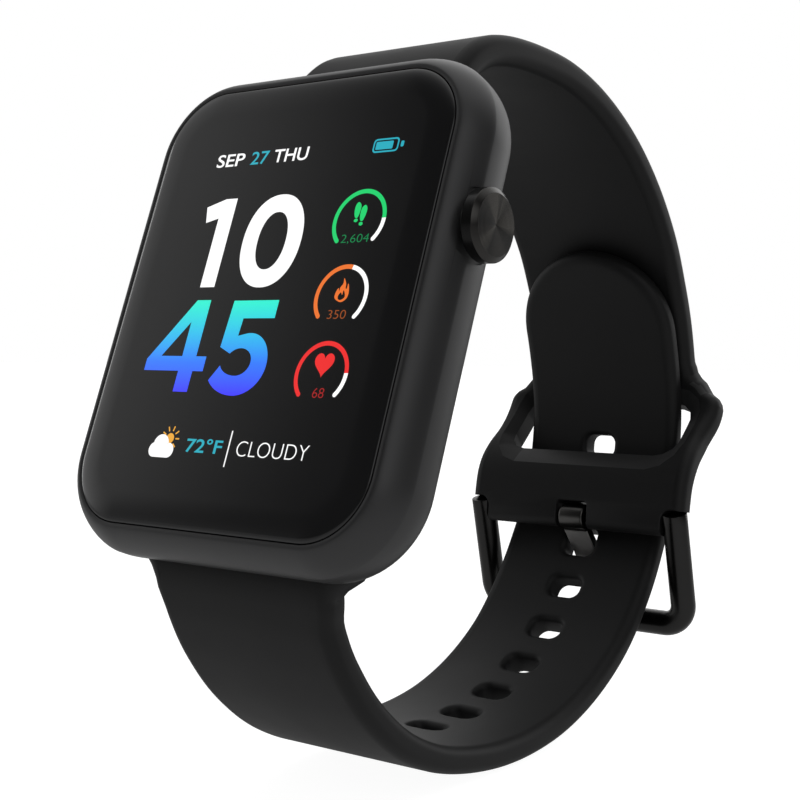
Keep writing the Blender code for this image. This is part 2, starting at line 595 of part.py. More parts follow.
def build_buckle():
    pin = Vector((0, PIN_Y, PIN_Z))
    down = (Vector((0, BAR_Y, BAR_Z)) - pin).normalized()
    reach = (Vector((0, BAR_Y, BAR_Z)) - pin).length
    bend = 2.6
    path = [(ARM_X, -1.35), (ARM_X, 2.0), (ARM_X, reach - bend)]
    for step in range(1, 7):
        angle = step / 6 * pi / 2
        path.append((ARM_X - bend * (1 - cos(angle)), reach - bend * (1 - sin(angle))))
    path += [(-x, along) for x, along in reversed(path)]
    points = [pin + Vector((x, 0, 0)) + down * along for x, along in path]
    rings = []
    for i, point in enumerate(points):
        ahead = (points[min(i + 1, len(points) - 1)] - points[max(i - 1, 0)]).normalized()
        rings.append(round_section(point, ahead, WIRE_RADIUS, 16))
    frame = solid("buckle_frame", rings, PLACE_ROW, "black_steel", origin=pin)
    bore = rod("cut_frame_bore", PIN_RADIUS + 0.08, -13.75, 13.75, "X", pin, PLACE_ROW)
    cut(frame, bore)
    rod("buckle_pin", PIN_RADIUS, -13.6, 13.6, "X", pin, PLACE_ROW, "black_steel")
    knuckle = [(-1.65, KNUCKLE_RADIUS), (1.65, KNUCKLE_RADIUS)]
    tang = turned("buckle_tang", knuckle, "X", pin, PLACE_ROW, "black_steel")
    knots = [(53.2, -24.3), (54.1, -25.7), (55.5, -27.4), (56.9, -29.9), (57.6, -32.8), (57.7, -36.0)]
    centre_line = smooth_path(knots, 0.9)
    half = TANG_THICKNESS / 2
    rings = []
    for point, ahead in zip(centre_line, directions(centre_line)):
        rings.append(tang_ring(point, Vector((ahead.y, -ahead.x)), half))
    tongue = solid("join_tongue", rings, PLACE_ROW)
    cut(tang, tongue, operation="UNION")
    cut(tang, rod("cut_tang_bore", PIN_RADIUS + 0.08, -3, 3, "X", pin, PLACE_ROW))


def tang_ring(point, normal, half):
    ring = []
    chamfer = 0.25
    width = TANG_WIDTH / 2
    for x, out in (
        (width, half - chamfer), (width - chamfer, half),
        (chamfer - width, half), (-width, half - chamfer),
        (-width, chamfer - half), (chamfer - width, -half),
        (width - chamfer, -half), (width, chamfer - half),
    ):
        ring.append((x, point.x + normal.x * out, point.y + normal.y * out))
    return ring


build_case()
build_front()
build_electronics()
build_back()
build_sensor()
build_crown()
build_bars()
build_straps()
build_buckle()
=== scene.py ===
"""The looks of a rectangular smartwatch on its buckled silicone strap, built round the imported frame.

Sizes are in millimetres until MM turns them into metres. Two frames are used: the watch frame, where
+X is the crown side, +Y is 12 o'clock and +Z comes out of the glass, and the row frame, where +Z is up.
"""

import json
from math import atan2, cos, hypot, pi, radians, sin

import bmesh
import bpy
from mathutils import Matrix, Vector


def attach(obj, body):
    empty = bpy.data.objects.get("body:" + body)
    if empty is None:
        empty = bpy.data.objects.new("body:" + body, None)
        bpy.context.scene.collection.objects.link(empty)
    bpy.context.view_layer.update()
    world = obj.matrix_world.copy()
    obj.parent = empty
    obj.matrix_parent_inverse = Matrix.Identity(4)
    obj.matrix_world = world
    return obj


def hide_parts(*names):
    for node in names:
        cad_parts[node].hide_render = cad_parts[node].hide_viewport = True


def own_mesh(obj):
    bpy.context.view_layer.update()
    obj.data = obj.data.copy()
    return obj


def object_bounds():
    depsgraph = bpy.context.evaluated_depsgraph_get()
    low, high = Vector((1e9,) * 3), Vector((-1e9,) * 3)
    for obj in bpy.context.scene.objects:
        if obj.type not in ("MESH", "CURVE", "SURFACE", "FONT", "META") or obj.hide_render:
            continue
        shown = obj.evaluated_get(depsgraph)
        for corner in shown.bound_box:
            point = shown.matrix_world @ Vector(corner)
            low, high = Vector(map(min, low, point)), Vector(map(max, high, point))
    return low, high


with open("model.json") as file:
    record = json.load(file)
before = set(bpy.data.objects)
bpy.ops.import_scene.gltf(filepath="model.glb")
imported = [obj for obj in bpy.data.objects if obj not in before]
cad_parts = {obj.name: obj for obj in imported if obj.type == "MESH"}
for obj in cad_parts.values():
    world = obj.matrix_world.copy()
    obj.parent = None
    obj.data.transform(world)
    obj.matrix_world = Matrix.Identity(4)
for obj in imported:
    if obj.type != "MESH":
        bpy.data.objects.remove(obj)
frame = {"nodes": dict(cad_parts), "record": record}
CAD_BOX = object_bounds()

MM = 0.001
WORLD = bpy.context.scene.collection

# The wrist contact is the flat of the sensor lens: it gives the lean of the watch and the origin.
BACKWARDS = Vector(frame["record"]["mounts"][0]["axis"])
LEAN = atan2(-BACKWARDS.z, BACKWARDS.y)
HUMP_DEPTH = 10.3
PLACE_ROW = Matrix.Translation(-BACKWARDS * HUMP_DEPTH * MM)
PLACE_WATCH = PLACE_ROW @ Matrix.Rotation(pi / 2 - LEAN, 4, "X")

# Case and glass, measured from the line between them.
RIM_WIDTH, RIM_HEIGHT, RIM_CORNER = 33.9, 42.0, 6.15
RIM_LAND, RIM_BREAK = 0.35, 0.05
BULGE, WIDEST_DEPTH, BACK_DEPTH = 2.13, 2.85, 8.3
BACK_CLOSE_DEPTH, BACK_CLOSE_INSET = 8.7, 5.0
FRONT_ROUNDNESS, BACK_ROUNDNESS = 1.4, 2.7
GLASS_GAP = 0.1
GLASS_TOP, GLASS_EDGE, GLASS_BOTTOM = 0.40, -0.02, -0.85
GLASS_CURVE = 2.7
PRINT_LOW, PRINT_HIGH = GLASS_TOP - 0.02, GLASS_TOP + 0.008
CORNER_STEPS = 20

# Crown.
CROWN_Y, CROWN_DEPTH = 7.4, 3.3
CROWN_CENTRE = (0, CROWN_Y, -CROWN_DEPTH)
CROWN_RADIUS, CROWN_FACE_RADIUS = 3.1, 2.62
CROWN_FACE_X, CROWN_EDGE_X, CROWN_BACK_X = 20.85, 20.48, 19.35

# Straps and buckle.
BAR_REACH, BAR_DEPTH = 19.3, 7.5
SLOT_HALF_WIDTH, SLOT_LIP = 12.35, 1.75
LUG_HALF_WIDTH, LUG_THICKNESS = 12.0, 3.3
UPPER_HALF_WIDTH, LOWER_HALF_WIDTH, TIP_HALF_WIDTH = 10.2, 9.9, 9.7
EAR_HALF_WIDTH, PLATE_HALF_WIDTH, PLATE_FOOT_HALF_WIDTH = 14.0, 13.95, 11.45
WINDOW_HALF_WIDTH, WINDOW_HALF_HEIGHT, WINDOW_CORNER = 10.95, 4.2, 2.3
WINDOW_LEDGE, WINDOW_LEDGE_DEPTH = 2.1, 0.75
OCTAGON_GROWTH = 2 - 2**0.5
HOLE_WIDTH, HOLE_LENGTH, HOLE_CORNER, HOLE_PITCH, HOLE_COUNT = 3.8, 2.55, 1.0, 6.08, 9
STRAP_THICKNESS, STRAP_ROUNDING = 3.0, 1.15
PIN_Y, PIN_Z, PIN_RADIUS, PIN_HALF_LENGTH = 53.0, -23.4, 0.6, 13.6
BAR_Y, BAR_Z, WIRE_RADIUS, WIRE_BEND = 55.7, -34.9, 1.38, 2.6
ARM_X, ARM_OVERHANG = 12.76, 1.35
TANG_WIDTH, TANG_THICKNESS, TANG_EASE = 3.1, 1.1, 0.22

# Middle lines of the two straps as (y, z) in the row frame, before it is moved to the sensor lens.
UPPER_KNOTS = [
    (13.65, 15.57), (14.85, 18.35), (17.3, 21.4), (20.3, 23.3), (24.2, 24.1), (29.6, 24.1),
    (35.75, 23.3), (41.85, 21.15), (47.6, 17.75), (52.5, 13.3), (56.4, 8.15), (58.85, 3.1),
    (60.4, -0.95), (61.45, -5.25), (61.95, -8.6), (60.75, -11.8), (58.0, -14.6), (55.6, -16.6),
    (54.1, -18.7), (53.4, -21.5), (53.05, -24.65),
]
WINDOW_AT, PLATE_FOOT_AT = (58.8, -13.8), (53.45, -21.45)
LOWER_KNOTS = [
    (0.45, -20.7), (-0.95, -22.5), (-1.45, -24.3), (-1.15, -26.0), (-0.4, -28.3), (1.35, -31.5),
    (4.6, -35.55), (8.85, -39.05), (13.7, -41.45), (18.9, -42.8), (24.85, -43.45), (30.95, -43.2),
    (36.8, -42.0), (42.45, -39.7), (47.65, -36.25), (51.85, -31.75), (55.1, -26.9), (58.0, -21.0),
    (59.25, -15.2), (59.35, -10.0), (58.2, -4.0), (56.2, 2.0), (53.9, 7.0),
]
TANG_HOLE_AT, TANG_HOLE_LENGTH = (55.1, -26.9), 3.5
# Below this height the tongue's inner face gets a far lighter steel: a painted highlight.
PAINTED_HIGHLIGHT_BELOW = -25.0


# Materials


def add_node(tree, kind, inputs=None, **settings):
    """A new node; each input is a value, or the socket that feeds it."""
    node = tree.nodes.new(kind)
    for key, value in settings.items():
        setattr(node, key, value)
    for key, value in (inputs or {}).items():
        if isinstance(value, bpy.types.NodeSocket):
            tree.links.new(value, node.inputs[key])
        else:
            node.inputs[key].default_value = value
    return node


class Look:
    """A Principled material and short ways to add nodes to it."""

    def __init__(self, name, colour, roughness, metallic=0.0, specular=0.5):
        self.name = name
        self.material = bpy.data.materials.new(f"look_{name}")
        self.material.use_nodes = True
        self.tree = self.material.node_tree
        self.links = self.tree.links
        self.shader = self.tree.nodes["Principled BSDF"]
        self.colour = (*colour, 1)
        self.roughness = roughness
        self.shader.inputs["Base Color"].default_value = self.colour
        self.shader.inputs["Roughness"].default_value = roughness
        self.shader.inputs["Metallic"].default_value = metallic
        self.shader.inputs["Specular IOR Level"].default_value = specular
        self.material.diffuse_color = self.colour
        self.where = self.add("ShaderNodeTexCoord").outputs["Object"]

    def add(self, kind, inputs=None, **settings):
        return add_node(self.tree, kind, inputs, **settings)

    def noise(self, size, detail=3.0, stretch=(1, 1, 1)):
        """Noise whose features are about this many millimetres across."""
        scale = 1 / (size * MM)
        place = self.add("ShaderNodeMapping", {"Vector": self.where, "Scale": [scale * s for s in stretch]})
        inputs = {"Vector": place.outputs[0], "Scale": 1.0, "Detail": detail}
        return self.add("ShaderNodeTexNoise", inputs).outputs[0]

    def spread(self, value, low, high):
        """Maps 0..1 to two values, or two sockets."""
        return self.add("ShaderNodeMapRange", {"Value": value, "To Min": low, "To Max": high}).outputs[0]

    def vary_colour(self, value, amount):
        """The colour gets this share lighter and darker."""
        dark = [c * (1 - amount) for c in self.colour[:3]] + [1]
        light = [min(1, c * (1 + amount)) for c in self.colour[:3]] + [1]
        mix = self.add("ShaderNodeMix", {"Factor": value}, data_type="RGBA")
        mix.inputs["A"].default_value, mix.inputs["B"].default_value = dark, light
        self.links.new(mix.outputs["Result"], self.shader.inputs["Base Color"])

    def vary_roughness(self, value, amount):
        ranged = self.spread(value, max(0.02, self.roughness - amount), min(1, self.roughness + amount))
        self.links.new(ranged, self.shader.inputs["Roughness"])

    def bump(self, value, depth, strength=1.0):
        """Relief of this depth in millimetres."""
        relief = self.add("ShaderNodeBump", {"Height": value, "Distance": depth * MM, "Strength": strength})
        self.links.new(relief.outputs[0], self.shader.inputs["Normal"])

    def set(self, **values):
        for key, value in values.items():
            self.shader.inputs[key.replace("_", " ")].default_value = value
        return self


def grainy(name, colour, roughness, grain, depth, metallic=0.0, specular=0.5, shift=0.1, blotch=6.0):
    """A moulded, coated or blasted surface: fine grain, and a slow change of tone."""
    look = Look(name, colour, roughness, metallic, specular)
    fine = look.noise(grain, 2.0)
    slow = look.noise(blotch, 3.0)
    look.vary_colour(slow, shift)
    look.vary_roughness(slow, 0.04)
    look.bump(fine, depth, 0.5)
    return look


def brushed(name, colour, roughness, along):
    """Drawn or ground metal: fine lines along one axis."""
    look = Look(name, colour, roughness, 1.0)
    stretch = [0.04 if axis == along else 1.0 for axis in "XYZ"]
    lines = look.noise(0.12, 4.0, stretch)
    look.vary_colour(lines, 0.12)
    look.vary_roughness(lines, 0.07)
    look.bump(lines, 0.004, 0.4)
    return look


def board_look(name):
    """A solder-masked board: copper tracks on a grid under green lacquer."""
    look = Look(name, (0.010, 0.075, 0.040), 0.38)
    scale = 1 / (1.6 * MM)
    place = look.add("ShaderNodeMapping", {"Vector": look.where, "Scale": [scale] * 3})
    inputs = {"Vector": place.outputs[0], "Scale": 1.0}
    cells = look.add("ShaderNodeTexVoronoi", inputs, distance="CHEBYCHEV")
    tracks = look.spread(cells.outputs["Distance"], 0.0, 1.6)
    look.vary_colour(tracks, 0.5)
    look.vary_roughness(tracks, 0.06)
    look.bump(tracks, 0.02, 0.5)
    return look


# Painted highlights on the turned crown face: tone of its colour by share of a turn, from the back of the
# watch round towards 12 o'clock.
CROWN_PAINTED_HIGHLIGHTS = [
    (0.00, 0.30), (0.05, 0.95), (0.12, 0.80), (0.19, 0.42), (0.235, 0.75), (0.255, 0.35), (0.30, 1.0),
    (0.36, 0.85), (0.43, 0.20), (0.53, 0.10), (0.60, 0.30), (0.655, 0.85), (0.70, 0.55), (0.735, 0.15),
    (0.80, 0.30), (0.87, 0.35), (0.93, 0.12), (0.97, 0.10),
]


def crown_face_look(name):
    """A turned black face with fine rings; its light wedges round the centre are painted highlights in its
    colour.
    """
    look = Look(name, (0.058, 0.054, 0.048), 0.28, 0.9)
    look.set(Anisotropic=0.5)
    tangent = look.add("ShaderNodeTangent", direction_type="RADIAL", axis="Z")
    look.links.new(tangent.outputs[0], look.shader.inputs["Tangent"])
    parts = look.add("ShaderNodeSeparateXYZ", {"Vector": look.where})
    angle = look.add("ShaderNodeMath", {0: parts.outputs["Y"], 1: parts.outputs["X"]}, operation="ARCTAN2")
    turn = look.add("ShaderNodeMath", {0: angle.outputs[0], 1: 2 * pi}, operation="DIVIDE")
    share = look.add("ShaderNodeMath", {0: turn.outputs[0]}, operation="FRACT")
    # Painted highlights: the base colour turns lighter and darker in wedges round the centre.
    ramp = look.add("ShaderNodeValToRGB", {"Fac": share.outputs[0]})
    ramp.color_ramp.interpolation = "EASE"
    stops = ramp.color_ramp.elements
    stops.remove(stops[1])
    stops[0].position = CROWN_PAINTED_HIGHLIGHTS[0][0]
    for at, _ in CROWN_PAINTED_HIGHLIGHTS[1:]:
        stops.new(at)
    for stop, (_, tone) in zip(stops, CROWN_PAINTED_HIGHLIGHTS):
        stop.color = (*(c * tone for c in look.colour[:3]), 1)
    look.links.new(ramp.outputs[0], look.shader.inputs["Base Color"])
    look.vary_roughness(look.noise(0.05, 2.0), 0.05)
    reach = look.add("ShaderNodeVectorMath", {0: look.where}, operation="LENGTH")
    pitch = 0.055 * MM
    rings = look.add("ShaderNodeMath", {0: reach.outputs["Value"], 1: 2 * pi / pitch}, operation="MULTIPLY")
    wave = look.add("ShaderNodeMath", {0: rings.outputs[0]}, operation="SINE")
    look.bump(wave.outputs[0], 0.0015, 0.35)
    return look


def lit_look(name, colour, glow=0.85):
    """Lit pixels behind glass: a glowing colour with the gloss of the glass over it."""
    look = Look(name, [c * 0.2 for c in colour], 0.08)
    dots = look.noise(0.3, 1.0)
    look.vary_roughness(dots, 0.01)
    look.shader.inputs["Emission Color"].default_value = (*colour, 1)
    return look.set(Emission_Strength=glow)


def shaded_digits_look(name, low, high):
    """Lit pixels whose colour runs down the digits, between two heights in the watch frame."""
    look = Look(name, (0.02, 0.08, 0.2), 0.08)
    parts = look.add("ShaderNodeSeparateXYZ", {"Vector": look.where})
    inputs = {"Value": parts.outputs["Y"], "From Min": low * MM, "From Max": high * MM}
    height = look.add("ShaderNodeMapRange", inputs)
    ramp = look.add("ShaderNodeValToRGB", {"Fac": height.outputs[0]})
    stops = ramp.color_ramp.elements
    stops[0].color = (0.055, 0.050, 1.0, 1)
    stops[1].color = (0.030, 0.86, 0.60, 1)
    for at, colour in ((0.33, (0.035, 0.19, 0.93, 1)), (0.62, (0.030, 0.48, 0.82, 1))):
        stops.new(at).color = colour
    look.links.new(ramp.outputs[0], look.shader.inputs["Emission Color"])
    look.links.new(ramp.outputs[0], look.shader.inputs["Base Color"])
    return look.set(Emission_Strength=0.74)


def make_looks():
    glass = grainy("dark_glass", (0.0135, 0.0135, 0.0141), 0.13, 4.0, 0.0002, shift=0.05, blotch=12)
    silicone = grainy("silicone", (0.0105, 0.0105, 0.0108), 0.55, 0.05, 0.0022, specular=0.25, shift=0.07)
    case = grainy("case_metal", (0.052, 0.052, 0.053), 0.42, 0.035, 0.0018, metallic=0.5, shift=0.05)
    steel = grainy("black_steel", (0.038, 0.0375, 0.037), 0.25, 0.3, 0.001, metallic=1.0, shift=0.10)
    looks = [
        glass, silicone, case, steel,
        # A lighter copy of the silicone for the sloping ledge under the buckle window: painted light where
        # the ledge faces up.
        grainy("silicone_ledge_painted_light", (0.03, 0.03, 0.0305), 0.5, 0.05, 0.0022, specular=0.3, shift=0.07),
        grainy("tang_steel", (0.09, 0.088, 0.085), 0.30, 0.3, 0.001, metallic=1.0, shift=0.10),
        # A far lighter steel for the tongue's inner face: a painted highlight.
        grainy("tongue_painted_highlight", (0.6, 0.59, 0.58), 0.55, 0.3, 0.001, metallic=1.0, shift=0.10),
        grainy("seal_rubber", (0.012, 0.012, 0.012), 0.62, 0.08, 0.004),
        grainy("crown_metal", (0.005,) * 3, 0.25, 0.05, 0.001, specular=0.2, shift=0.12, blotch=1.5),
        grainy("crown_chamfer", (0.05, 0.0485, 0.0465), 0.24, 0.06, 0.001, metallic=1.0, blotch=2),
        crown_face_look("crown_face"),
        brushed("bright_steel", (0.50, 0.50, 0.51), 0.30, "X"),
        board_look("board_green"),
        grainy("chip_black", (0.018, 0.018, 0.019), 0.42, 0.06, 0.004, shift=0.15, blotch=1.2),
        grainy("cell_silver", (0.42, 0.43, 0.45), 0.36, 0.8, 0.02, metallic=0.6, shift=0.1),
        grainy("display", (0.010, 0.011, 0.016), 0.20, 0.4, 0.001, shift=0.2),
        grainy("back_plastic", (0.014, 0.014, 0.015), 0.24, 0.10, 0.0008, shift=0.10),
        grainy("lens_dark", (0.006, 0.006, 0.009), 0.07, 1.0, 0.0003, specular=0.6, shift=0.25, blotch=3),
        grainy("contact_gold", (0.72, 0.50, 0.20), 0.24, 0.1, 0.001, metallic=1.0, shift=0.08, blotch=1),
        grainy("led_green", (0.10, 0.42, 0.16), 0.22, 0.2, 0.002, shift=0.3, blotch=0.6),
        grainy("sensor_red", (0.09, 0.012, 0.012), 0.20, 0.2, 0.001, shift=0.3, blotch=0.8),
        lit_look("lit_white", (0.95, 0.95, 0.95), 1.05),
        lit_look("lit_cyan", (0.030, 0.46, 0.58)),
        lit_look("lit_green", (0.020, 0.72, 0.18)),
        lit_look("lit_orange", (0.95, 0.20, 0.035)),
        lit_look("lit_red", (0.95, 0.035, 0.035)),
        lit_look("lit_amber", (0.95, 0.45, 0.05)),
        lit_look("lit_green_thin", (0.010, 0.25, 0.08)),
        lit_look("lit_orange_thin", (0.36, 0.085, 0.02)),
        lit_look("lit_red_thin", (0.42, 0.022, 0.022)),
        shaded_digits_look("lit_digits", -8.9, -0.3),
    ]
    return {look.name: look.material for look in looks}


LOOKS = make_looks()


# Modelling helpers


def loft(rings, closed=False, capped=True):
    """Joins each ring of points to the next; the ends are capped unless it closes on itself."""
    shape = bmesh.new()
    rows = [[shape.verts.new(point) for point in ring] for ring in rings]
    pairs = list(zip(rows, rows[1:]))
    if closed:
        pairs.append((rows[-1], rows[0]))
    for low, high in pairs:
        for i in range(len(low)):
            j = (i + 1) % len(low)
            shape.faces.new((low[i], low[j], high[j], high[i]))
    if capped and not closed:
        shape.faces.new(rows[0][::-1])
        shape.faces.new(rows[-1])
    bmesh.ops.recalc_face_normals(shape, faces=shape.faces)
    return shape


def as_mesh(name, shape, scale=1.0):
    """The shape as a mesh; the shape is used up."""
    bmesh.ops.scale(shape, vec=(scale, scale, scale), verts=shape.verts)
    mesh = bpy.data.meshes.new(name)
    shape.to_mesh(mesh)
    shape.free()
    return mesh


def scratch_object(shape):
    obj = bpy.data.objects.new("scratch", as_mesh("scratch", shape))
    WORLD.objects.link(obj)
    return obj


def combine(shape, others, operation="DIFFERENCE"):
    """The shape with the other shapes cut away or joined on."""
    target = scratch_object(shape)
    tools = [scratch_object(other) for other in others]
    for tool in tools:
        modifier = target.modifiers.new("combine", "BOOLEAN")
        modifier.operation = operation
        modifier.solver = "EXACT"
        modifier.object = tool
    graph = bpy.context.evaluated_depsgraph_get()
    made = bmesh.new()
    made.from_object(target, graph)
    for obj in (target, *tools):
        bpy.data.objects.remove(obj)
    return made


def piece(name, shape, place, material, body, replaces=(), sharp=32):
    """Makes a shape a named object that rides on a body and may stand for CAD nodes."""
    mesh = as_mesh(name, shape, MM)
    mesh.shade_smooth()
    mesh.set_sharp_from_angle(angle=radians(sharp))
    mesh.materials.append(LOOKS[material])
    obj = bpy.data.objects.new(name, mesh)
    obj.matrix_world = place
    WORLD.objects.link(obj)
    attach(obj, body)
    if replaces:
        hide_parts(*replaces)
    return obj


def arc(centre, radius_x, radius_y, start, end, steps):
    """Points round part of an ellipse, with angles in degrees."""
    points = []
    for step in range(steps + 1):
        angle = radians(start + (end - start) * step / steps)
        points.append((centre[0] + radius_x * cos(angle), centre[1] + radius_y * sin(angle)))
    return points


def rounded_rectangle(half_width, half_height, corner, steps=CORNER_STEPS, centre=(0, 0)):
    corner = min(corner, half_width, half_height)
    points = []
    for quarter, (sx, sy) in enumerate(((1, 1), (-1, 1), (-1, -1), (1, -1))):
        middle = (centre[0] + sx * (half_width - corner), centre[1] + sy * (half_height - corner))
        points += arc(middle, corner, corner, 90 * quarter, 90 * quarter + 90, steps)
    return points


def level(points, z):
    return [(x, y, z) for x, y in points]


def rim(offset, z):
    """The line between glass and case, moved outwards by an offset."""
    half_width, half_height = RIM_WIDTH / 2 + offset, RIM_HEIGHT / 2 + offset
    return level(rounded_rectangle(half_width, half_height, RIM_CORNER + offset), z)


def block(half_width, half_height, corner, low, high, centre=(0, 0), steps=8):
    outline = rounded_rectangle(half_width, half_height, corner, steps, centre)
    return loft([level(outline, low), level(outline, high)])


def turned(profile, axis="Z", centre=(0, 0, 0), steps=48, closed=False):
    """A body turned round an axis, from (distance along it, radius) pairs."""
    rings = []
    for along, radius in profile:
        ring = []
        for step in range(steps):
            angle = 2 * pi * (step + 0.5) / steps
            a, b = radius * cos(angle), radius * sin(angle)
            offset = {"X": (along, a, b), "Y": (b, along, a), "Z": (a, b, along)}[axis]
            ring.append(tuple(centre[i] + offset[i] for i in range(3)))
        rings.append(ring)
    return loft(rings, closed)


def rod(radius, low, high, axis="Z", centre=(0, 0, 0), steps=48):
    return turned([(low, radius), (high, radius)], axis, centre, steps)


def box(low, high):
    rings = []
    for z in (low[2], high[2]):
        corners = ((low[0], low[1]), (high[0], low[1]), (high[0], high[1]), (low[0], high[1]))
        rings.append(level(corners, z))
    return loft(rings)


def swept(points, section):
    """A section of (x, out) pairs carried along a path of (y, z) points."""
    rings = []
    for point, ahead in zip(points, directions(points)):
        out = Vector((ahead.y, -ahead.x))
        rings.append([(x, point.x + out.x * o, point.y + out.y * o) for x, o in section])
    return loft(rings)


def between(a, b, c, d, t):
    """A point from b (t = 0) to c (t = 1) on the Catmull-Rom curve through four points."""
    square = 2 * a - 5 * b + 4 * c - d
    cube = 3 * b - a - 3 * c + d
    return 0.5 * (2 * b + (c - a) * t + square * t**2 + cube * t**3)


def smooth_path(knots, spacing):
    """A Catmull-Rom curve through (y, z) knots, as evenly spaced points."""
    knots = [Vector(knot) for knot in knots]
    ends = [2 * knots[0] - knots[1], *knots, 2 * knots[-1] - knots[-2]]
    dense = []
    for four in zip(ends, ends[1:], ends[2:], ends[3:]):
        dense += [between(*four, step / 20) for step in range(20)]
    dense.append(knots[-1])
    lengths = [0.0]
    for first, second in zip(dense, dense[1:]):
        lengths.append(lengths[-1] + (second - first).length)
    count = max(2, round(lengths[-1] / spacing))
    points = []
    index = 1
    for i in range(count + 1):
        wanted = lengths[-1] * i / count
        while lengths[index] < wanted - 1e-9:
            index += 1
        part = (wanted - lengths[index - 1]) / (lengths[index] - lengths[index - 1])
        points.append(dense[index - 1].lerp(dense[index], part))
    return points


def directions(path):
    """The direction of travel at each point of a (y, z) path."""
    found = []
    for i in range(len(path)):
        ahead = path[min(i + 1, len(path) - 1)] - path[max(i - 1, 0)]
        found.append(ahead.normalized())
    return found


def blend(table, value):
    """Smooth interpolation in (position, value) pairs."""
    if value <= table[0][0]:
        return table[0][1]
    for (p0, v0), (p1, v1) in zip(table, table[1:]):
        if value <= p1:
            t = (value - p0) / (p1 - p0)
            return v0 + (v1 - v0) * t * t * (3 - 2 * t)
    return table[-1][1]


# Case, glass and crown


def case_profile():
    """(offset from the rim line, z) pairs down the side of the case."""
    points = [(RIM_BREAK, -0.02), (RIM_BREAK * 2, 0.0), (RIM_LAND, 0.0)]
    steps = 22
    for step in range(1, steps):
        angle = step / steps * pi / 2
        out = sin(angle) ** (2 / FRONT_ROUNDNESS)
        down = 1 - cos(angle) ** (2 / FRONT_ROUNDNESS)
        points.append((RIM_LAND + (BULGE - RIM_LAND) * out, -WIDEST_DEPTH * down))
    depth = BACK_CLOSE_DEPTH - WIDEST_DEPTH
    points.append((BULGE, -WIDEST_DEPTH))
    for step in range(1, 2 * steps):
        angle = step / (2 * steps) * pi / 2
        z = -WIDEST_DEPTH - depth * sin(angle) ** (2 / BACK_ROUNDNESS)
        if z > -BACK_DEPTH + 0.04:
            reach = BULGE + BACK_CLOSE_INSET
            points.append((reach * cos(angle) ** (2 / BACK_ROUNDNESS) - BACK_CLOSE_INSET, z))
    across = 1 - ((BACK_DEPTH - WIDEST_DEPTH) / depth) ** BACK_ROUNDNESS
    last = (BULGE + BACK_CLOSE_INSET) * across ** (1 / BACK_ROUNDNESS) - BACK_CLOSE_INSET
    points += [(last, -BACK_DEPTH + 0.03), (last - 0.05, -BACK_DEPTH)]
    return points


SCREW_SPOTS = [(sx * 11.4, sy * 14.0) for sx in (-1, 1) for sy in (-1, 1)]


def bar_centre(side):
    """The middle of a spring bar; side is +1 at 12 o'clock and -1 at 6 o'clock."""
    return (0, side * BAR_REACH, -BAR_DEPTH)


# Hollows of the case as (half width, half height, corner, low, high): the screen's, the movement's
# and the seat of the back.
CASE_HOLLOWS = ((15.2, 19.3, 4.4, -4.6, -1.2), (12.8, 15.2, 3.0, -7.8, -4.4), (13.7, 16.3, 4.0, -9.0, -7.35))


def build_case():
    shape = loft([rim(offset, z) for offset, z in case_profile()])
    cutters = [loft([rim(0.0, z) for z in (1, -1.4)])]
    cutters += [block(*hollow) for hollow in CASE_HOLLOWS]
    for side in (1, -1):
        _, y, z = bar_centre(side)
        low_y, high_y = sorted((side * 17.3, side * 25))
        cutters.append(box((-SLOT_HALF_WIDTH, low_y, -12), (SLOT_HALF_WIDTH, high_y, z + SLOT_LIP)))
        cutters.append(rod(0.52, -13.6, 13.6, "X", (0, y, z), 24))
    cutters.append(rod(1.5, 13, 19, "X", CROWN_CENTRE))
    cutters.append(turned([(22.0, 3.2), (18.65, 3.2)], "X", CROWN_CENTRE, 64))
    for x, y in SCREW_SPOTS:
        cutters.append(rod(0.5, -8, -5.6, "Z", (x, y, 0), 24))
    shape = combine(shape, cutters)
    piece("case_shell", shape, PLACE_WATCH, "case_metal", "watch", ["case_body"], 40)


def build_glass():
    """The cover glass, black behind, whose edge curves down into the case."""
    ease, steps = 0.08, 24
    edge = [(-GLASS_GAP - ease, GLASS_BOTTOM), (-GLASS_GAP, GLASS_BOTTOM + ease), (-GLASS_GAP, GLASS_EDGE)]
    for step in range(1, steps + 1):
        angle = step / steps * pi / 2
        rise = (GLASS_TOP - GLASS_EDGE) * sin(angle)
        edge.append((-GLASS_GAP - GLASS_CURVE * (1 - cos(angle)), GLASS_EDGE + rise))
    shape = loft([rim(offset, z) for offset, z in edge])
    piece("touch_glass", shape, PLACE_WATCH, "dark_glass", "watch", ["cover_glass"])


